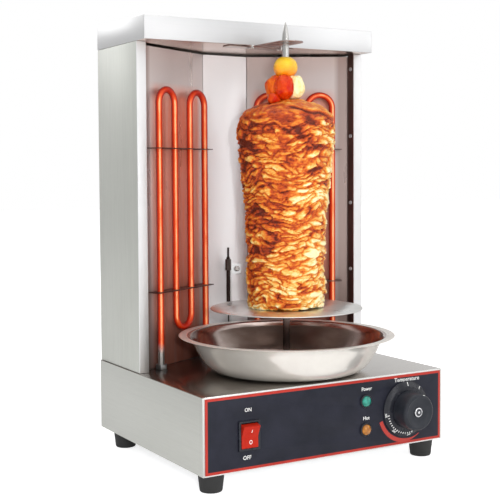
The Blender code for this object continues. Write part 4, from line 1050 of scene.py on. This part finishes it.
def lettering(text, width, height, place, thickness=0.00012):
    """A mesh of generic lettering, centred, width by height, lifted off the face that it is on."""
    curve = bpy.data.curves.new("lettering", "FONT")
    curve.body = text
    curve.extrude = 0.5
    curve.offset = 0.006
    curve.resolution_u = 4
    holder = bpy.data.objects.new("lettering", curve)
    bpy.context.scene.collection.objects.link(holder)
    bpy.context.view_layer.update()
    flat = holder.to_mesh()
    bm = bmesh.new()
    bm.from_mesh(flat)
    holder.to_mesh_clear()
    bpy.data.objects.remove(holder, do_unlink=True)
    bpy.data.curves.remove(curve)
    bmesh.ops.remove_doubles(bm, verts=bm.verts, dist=1e-5)
    low, high = (Vector([pick(v.co[k] for v in bm.verts) for k in range(3)]) for pick in (min, max))
    size = high - low
    fit = Matrix.Diagonal((width / size.x, height / size.y, thickness / size.z, 1))
    return moved(bm, place @ fit @ Matrix.Translation(-(low + high) / 2))


def on_panel(x, z):
    return Matrix.Translation((x, FASCIA_Y - PRINT_LIFT, z)) @ FRONT_TURN


def arc_band(middle, start, end, radius, widths, front_y, back_y):
    """A flat band round `middle` from start to end degrees, whose width runs from one of widths
    to the other."""
    bm = bmesh.new()
    steps = 48
    rings = []
    for k in range(steps + 1):
        t = k / steps
        a = math.radians(start + (end - start) * t)
        half = (widths[0] + (widths[1] - widths[0]) * ease(t, 0.55, 1.0)) / 2
        inner, outer = radius - half, radius + half
        spots = ((inner, front_y), (outer, front_y), (outer, back_y), (inner, back_y))
        ring = [bm.verts.new((middle.x + r * math.cos(a), y, middle.z + r * math.sin(a))) for r, y in spots]
        rings.append(ring)
    return skinned(bm, rings)


def make_panel_marks():
    switch, power, heat = centre("switch_body"), centre("lamp_power_lens"), centre("lamp_heat_lens")
    words = (  # text, width, height, x and z of its middle
        ("ON", 0.0082, 0.0040, switch.x - 0.0010, 0.0858),
        ("OFF", 0.0100, 0.0042, switch.x - 0.0023, 0.0346),
        ("Power", 0.0142, 0.0042, power.x + 0.0016, 0.0915),
        ("Hot", 0.0088, 0.0040, heat.x + 0.0010, 0.0580),
        ("Temperature", 0.0362, 0.0062, KNOB.x + 0.0022, 0.0962),
    )
    parts = [lettering(text, width, height, on_panel(x, z)) for text, width, height, x, z in words]
    mesh = mesh_from(join(*parts), 30)
    add_piece("panel_lettering", mesh, "machine", "printed_panel", "white_ink")
    start, end, radius, widths = 198, 303, 0.0368, (0.0048, 0.0008)
    band = arc_band(KNOB, start, end, radius, widths, FASCIA_Y - 0.00014, FASCIA_Y - 0.00002)
    add_piece("panel_heat_arc", mesh_from(band, 30), "machine", "printed_panel", "red_ink")


make_panel_marks()

# ---- Lamps, knob and switch ----


def turned_on_panel(name, profile, at, body, slot, finish, replaced, sides=96, ring=False, degrees=40):
    bm = turned(profile, sides, (at.x, 0, at.z), FRONT_TURN, ring)
    return add_piece(name, mesh_from(bm, degrees), body, slot, finish, (replaced,))


def make_lamps():
    face, wall, wide, tall = -FASCIA_Y, 0.0016, 0.0060, 0.0049
    ring = ((4.5, -18), (6, -18), (6, 0.3), (7.6, 0.3), (7.8, 0.5), (7.8, 1.1), (7.5, 1.6), (7, 2))
    ring = profile_of(*ring, (6.4, 2.1), (6.1, 1.9), (6, 0.8), (4.5, 0.8), height=face)
    cover = profile_of((0, -10), (4.2, -10), (4.2, 1), (5.9, 1), (6, 1.6), height=face)
    for k in range(1, 12):
        a = math.pi / 2 * k / 12
        groove = 0.00008 if k % 2 else 0.0
        cover.append((wide * math.cos(a) - groove, face + wall + (tall - wall) * math.sin(a)))
    cover.append((0, face + tall))
    for kind, finish in (("power", "green"), ("heat", "amber")):
        at, body = centre(f"lamp_{kind}_lens"), f"lamp_{kind}_body"
        turned_on_panel(f"{body}_ring", ring, at, "machine", "black_plastic", "plastic", body, ring=True)
        slot, lamp = f"{finish}_lens", f"lamp_{kind}_lens"
        turned_on_panel(f"lamp_{kind}_jewel", cover, at, "machine", slot, finish, lamp)


make_lamps()


def make_knob():
    face, front, hole = -FASCIA_Y, -KNOB_FRONT_Y, 3.3
    edge = ((31.2, 0.6), (31.9, 0.9), (32.2, 1.4), (32, 1.8), (31.6, 2.1))
    skirt = profile_of((hole, 0.6), *edge, (26.8, 4.3), (26.2, 4.5), (22.5, 4.6), (hole, 4.6), height=face)
    piece = turned_on_panel
    piece("knob_skirt_dial", skirt, KNOB, "knob", "black_plastic", "plastic", "knob_skirt", 128, True)
    grip = profile_of((0, -6.5), (hole, -6.5), height=front)
    grip += profile_of((hole, 4.9), (21.3, 4.9), (21.8, 5.4), (21.7, 7), height=face)
    crown = ((21.2, -3.6), (20.9, -2.2), (20.3, -1.1), (19.4, -0.3), (18.4, 0), (17.4, -0.15), (16.8, -0.6))
    dish = ((15, -1.7), (12, -2.6), (9, -2.9), (6.4, -2.8), (5.8, -3.1), (5.8, -4), (0, -4))
    grip += profile_of(*crown, *dish, height=front)
    piece("knob_grip_turned", grip, KNOB, "knob", "knob_plastic", "grip", "knob_grip", 128)
    cap = ((0, -3.7), (5.3, -3.7), (5.5, -3.2), (5.5, -1.6), (5.2, -1.2), (4.6, -1), (4.3, -1.3), (4, -1.2))
    cap = profile_of(*cap, (2.4, -0.9), (0, -0.8), height=front)
    piece("knob_cap_disc", cap, KNOB, "knob", "polished_steel", "cap_steel", "knob_cap", 64)

    marks = []
    slope = math.atan2(0.0022, 0.0048)  # of the skirt's face, from its edge up to the grip
    edge_radius, edge_height, proud = 0.0316, 0.0021, 0.00006

    def on_skirt(degrees, radius):
        """Stands at a radius on the skirt's sloping face, +Z away from the knob's axis, -Y off the face."""
        rise = edge_height + (edge_radius - radius) * math.tan(slope) + proud
        spin = Matrix.Rotation(math.radians(90 - degrees), 4, "Y")
        tip = Matrix.Rotation(-slope, 4, "X")
        at = Matrix.Translation((KNOB.x, FASCIA_Y - rise, KNOB.z))
        return at @ spin @ Matrix.Translation((0, 0, radius)) @ tip

    def mark(degrees, radius, length, width):
        bm = block((-width / 2, -0.00008, -length / 2), (width / 2, 0.00010, length / 2))
        marks.append(moved(bm, on_skirt(degrees, radius)))

    first, last, count = 190, 284, 15
    for k in range(count):
        mark(first + (last - first) * k / (count - 1), 0.0277, 0.0026 if k % 7 == 0 else 0.0020, 0.0009)
    mark(88, 0.0292, 0.0046, 0.0008)
    mark(52, 0.0292, 0.0040, 0.0008)
    for number, degrees, wide in (("300", 188, 0.0048), ("200", 232, 0.0048), ("100", 276, 0.0046)):
        place = on_skirt(degrees, 0.0302) @ Matrix.Rotation(math.pi, 4, "Y") @ FRONT_TURN
        marks.append(lettering(number, wide, 0.0024, place, 0.00016))
    add_piece("knob_marks", mesh_from(join(*marks), 30), "knob", "nylon", "white_ink")
    pointer = block((-0.0009, -0.0002, -0.0009), (0.0009, 0.0006, 0.0009), 0.0001)
    turn = Matrix.Rotation(math.radians(20), 4, "Y")
    at = Matrix.Translation((KNOB.x, KNOB_FRONT_Y + 0.0008, KNOB.z))
    moved(pointer, at @ turn @ Matrix.Translation((0, 0, 0.0196)))
    add_piece("knob_pointer", mesh_from(pointer, 30), "knob", "nylon", "white_ink")


make_knob()


def make_rocker_marks():
    """The I and O on the two halves of the rocker, whose faces meet in a shallow V."""
    pivot_y = -0.1237
    axis = Vector((centre("switch_body").x, pivot_y, centre("switch_body").z))
    tilt, slope, out, along = 12, 12, 0.00432, 0.0062
    marks = []
    for text, side, width, height in (("I", 1, 0.0007, 0.0036), ("O", -1, 0.0038, 0.0044)):
        place = (
            Matrix.Translation(axis)
            @ Matrix.Rotation(math.radians(tilt), 4, "X")
            @ Matrix.Translation((0.0008, -out, side * along))
            @ Matrix.Rotation(math.radians(side * slope), 4, "X")
            @ FRONT_TURN
        )
        marks.append(lettering(text, width, height, place, 0.0003))
    add_piece("rocker_marks", mesh_from(join(*marks), 30), "rocker", "nylon", "white_ink")


make_rocker_marks()
softened("probe_screw", "machine", "polished_steel", "small_steel", 0.0001)

# ---- Stage, lights and camera ----


def make_stage():
    f = Finish("pale_floor", (0.86, 0.86, 0.86), 0.60)
    cloud = f.noise(scale=3.0, detail=3.0)
    f.colour(f.blend(cloud, (0.86, 0.86, 0.86), (0.88, 0.88, 0.88)))
    f.shader.inputs["Emission Color"].default_value = (1, 1, 1, 1)
    seen = f.node("LightPath").outputs["Is Camera Ray"]
    f.set("Emission Strength", f.span(seen, 0.0, 1.0, 0.16, 0.70))
    half = 8.0
    mesh = bpy.data.meshes.new("floor")
    corners = [(-half, -half, 0), (half, -half, 0), (half, half, 0), (-half, half, 0)]
    mesh.from_pydata(corners, [], [(0, 1, 2, 3)])
    mesh.materials.append(f.material)
    floor = bpy.data.objects.new("floor", mesh)
    bpy.context.scene.collection.objects.link(floor)


MIRRORED_LEVEL = 0.95
LIT_LEVEL = 0.46


def make_world():
    """White all round for the camera. What the metal mirrors is a pale room with a brighter
    ceiling and one darker stretch; what it lights the machine with is dimmer than that."""
    world = bpy.data.worlds.new("studio")
    bpy.context.scene.world = world
    world.use_nodes = True
    g = Graph(world.node_tree)
    facing = g.node("TexCoord").outputs["Generated"]
    x, y, z = (g.axis(facing, k) for k in range(3))

    def greys(value, *stops):
        return g.ramp(value, *((at, (level, level, level)) for at, level in stops))

    turn = g.math("ARCTAN2", x, g.times(y, -1.0))  # 0 straight ahead of the panel
    around = g.plus(g.math("DIVIDE", turn, 2 * math.pi), 0.5)
    bright = ((0.42, 0.98), (0.56, 1.0), (0.60, 0.40), (0.64, 0.92))
    level = greys(around, (0.0, 0.72), (0.24, 0.66), (0.34, 0.74), *bright, (1.0, 0.72))
    rise = greys(g.plus(g.times(z, 0.5), 0.5), (0.45, 0.95), (0.60, 0.88), (0.80, 1.0))
    path = g.node("LightPath").outputs
    lower = g.times(path["Is Diffuse Ray"], MIRRORED_LEVEL - LIT_LEVEL)
    strength = g.minus(MIRRORED_LEVEL, lower)
    room = g.node("Background", {"Color": g.times(level, rise), "Strength": strength})
    white = g.node("Background", {"Color": (1, 1, 1, 1), "Strength": 1.0})
    seen = g.node("MixShader", {0: path["Is Camera Ray"], 1: room.outputs[0], 2: white.outputs[0]})
    g.tree.links.new(seen.outputs[0], g.tree.nodes["World Output"].inputs["Surface"])


def add_softbox(name, at, target, size, power, mirrored=True):
    data = bpy.data.lights.new(name, "AREA")
    data.shape = "RECTANGLE"
    data.size, data.size_y = size
    data.energy = power
    light = bpy.data.objects.new(name, data)
    light.location = at
    light.rotation_mode = "QUATERNION"
    light.rotation_quaternion = (Vector(target) - Vector(at)).to_track_quat("-Z", "Y")
    light.visible_glossy = mirrored
    bpy.context.scene.collection.objects.link(light)


def make_camera():
    """The photograph's viewpoint: to the left of the machine and a little above its middle."""
    place = Vector((-0.679, -1.102, 0.338))
    yaw, pitch, roll = math.radians(30.52), math.radians(3.10), math.radians(-0.30)
    across, up = Vector((math.cos(yaw), -math.sin(yaw), 0)), Vector((0, 0, 1))
    ahead = up.cross(across)
    looking = ahead * math.cos(pitch) - up * math.sin(pitch)
    rising = up * math.cos(pitch) + ahead * math.sin(pitch)
    right = across * math.cos(roll) + rising * math.sin(roll)
    top = rising * math.cos(roll) - across * math.sin(roll)
    data = bpy.data.cameras.new("camera")
    data.sensor_width = 36.0
    data.lens = 77.8
    data.shift_y = -0.04
    data.clip_start, data.clip_end = 0.05, 50.0
    camera = bpy.data.objects.new("camera", data)
    camera.matrix_world = Matrix.Translation(place) @ Matrix((right, top, -looking)).transposed().to_4x4()
    bpy.context.scene.collection.objects.link(camera)
    bpy.context.scene.camera = camera


make_stage()
make_world()
MIDDLE = (0, 0, 0.25)
add_softbox("key", (-1.6, -1.9, 1.9), MIDDLE, (1.6, 1.6), 14, mirrored=False)
add_softbox("fill", (1.9, -1.6, 1.1), MIDDLE, (1.4, 1.8), 8)
add_softbox("top", (0.1, -0.2, 2.4), MIDDLE, (2.0, 2.0), 15)
add_softbox("rear", (-0.6, 2.2, 1.5), MIDDLE, (2.2, 1.4), 14)
add_softbox("strip", (0.25, -2.1, 0.75), MIDDLE, (0.30, 1.6), 4)
add_softbox("beside_camera", (-0.583, -1.155, 0.39), MIDDLE, (0.04, 0.04), 6.6, mirrored=False)
add_softbox("low_front", (-0.10, -1.5, 0.22), (0, 0, 0.12), (0.4, 0.3), 3.2, mirrored=False)
make_camera()
bpy.context.scene.view_settings.view_transform = "Standard"
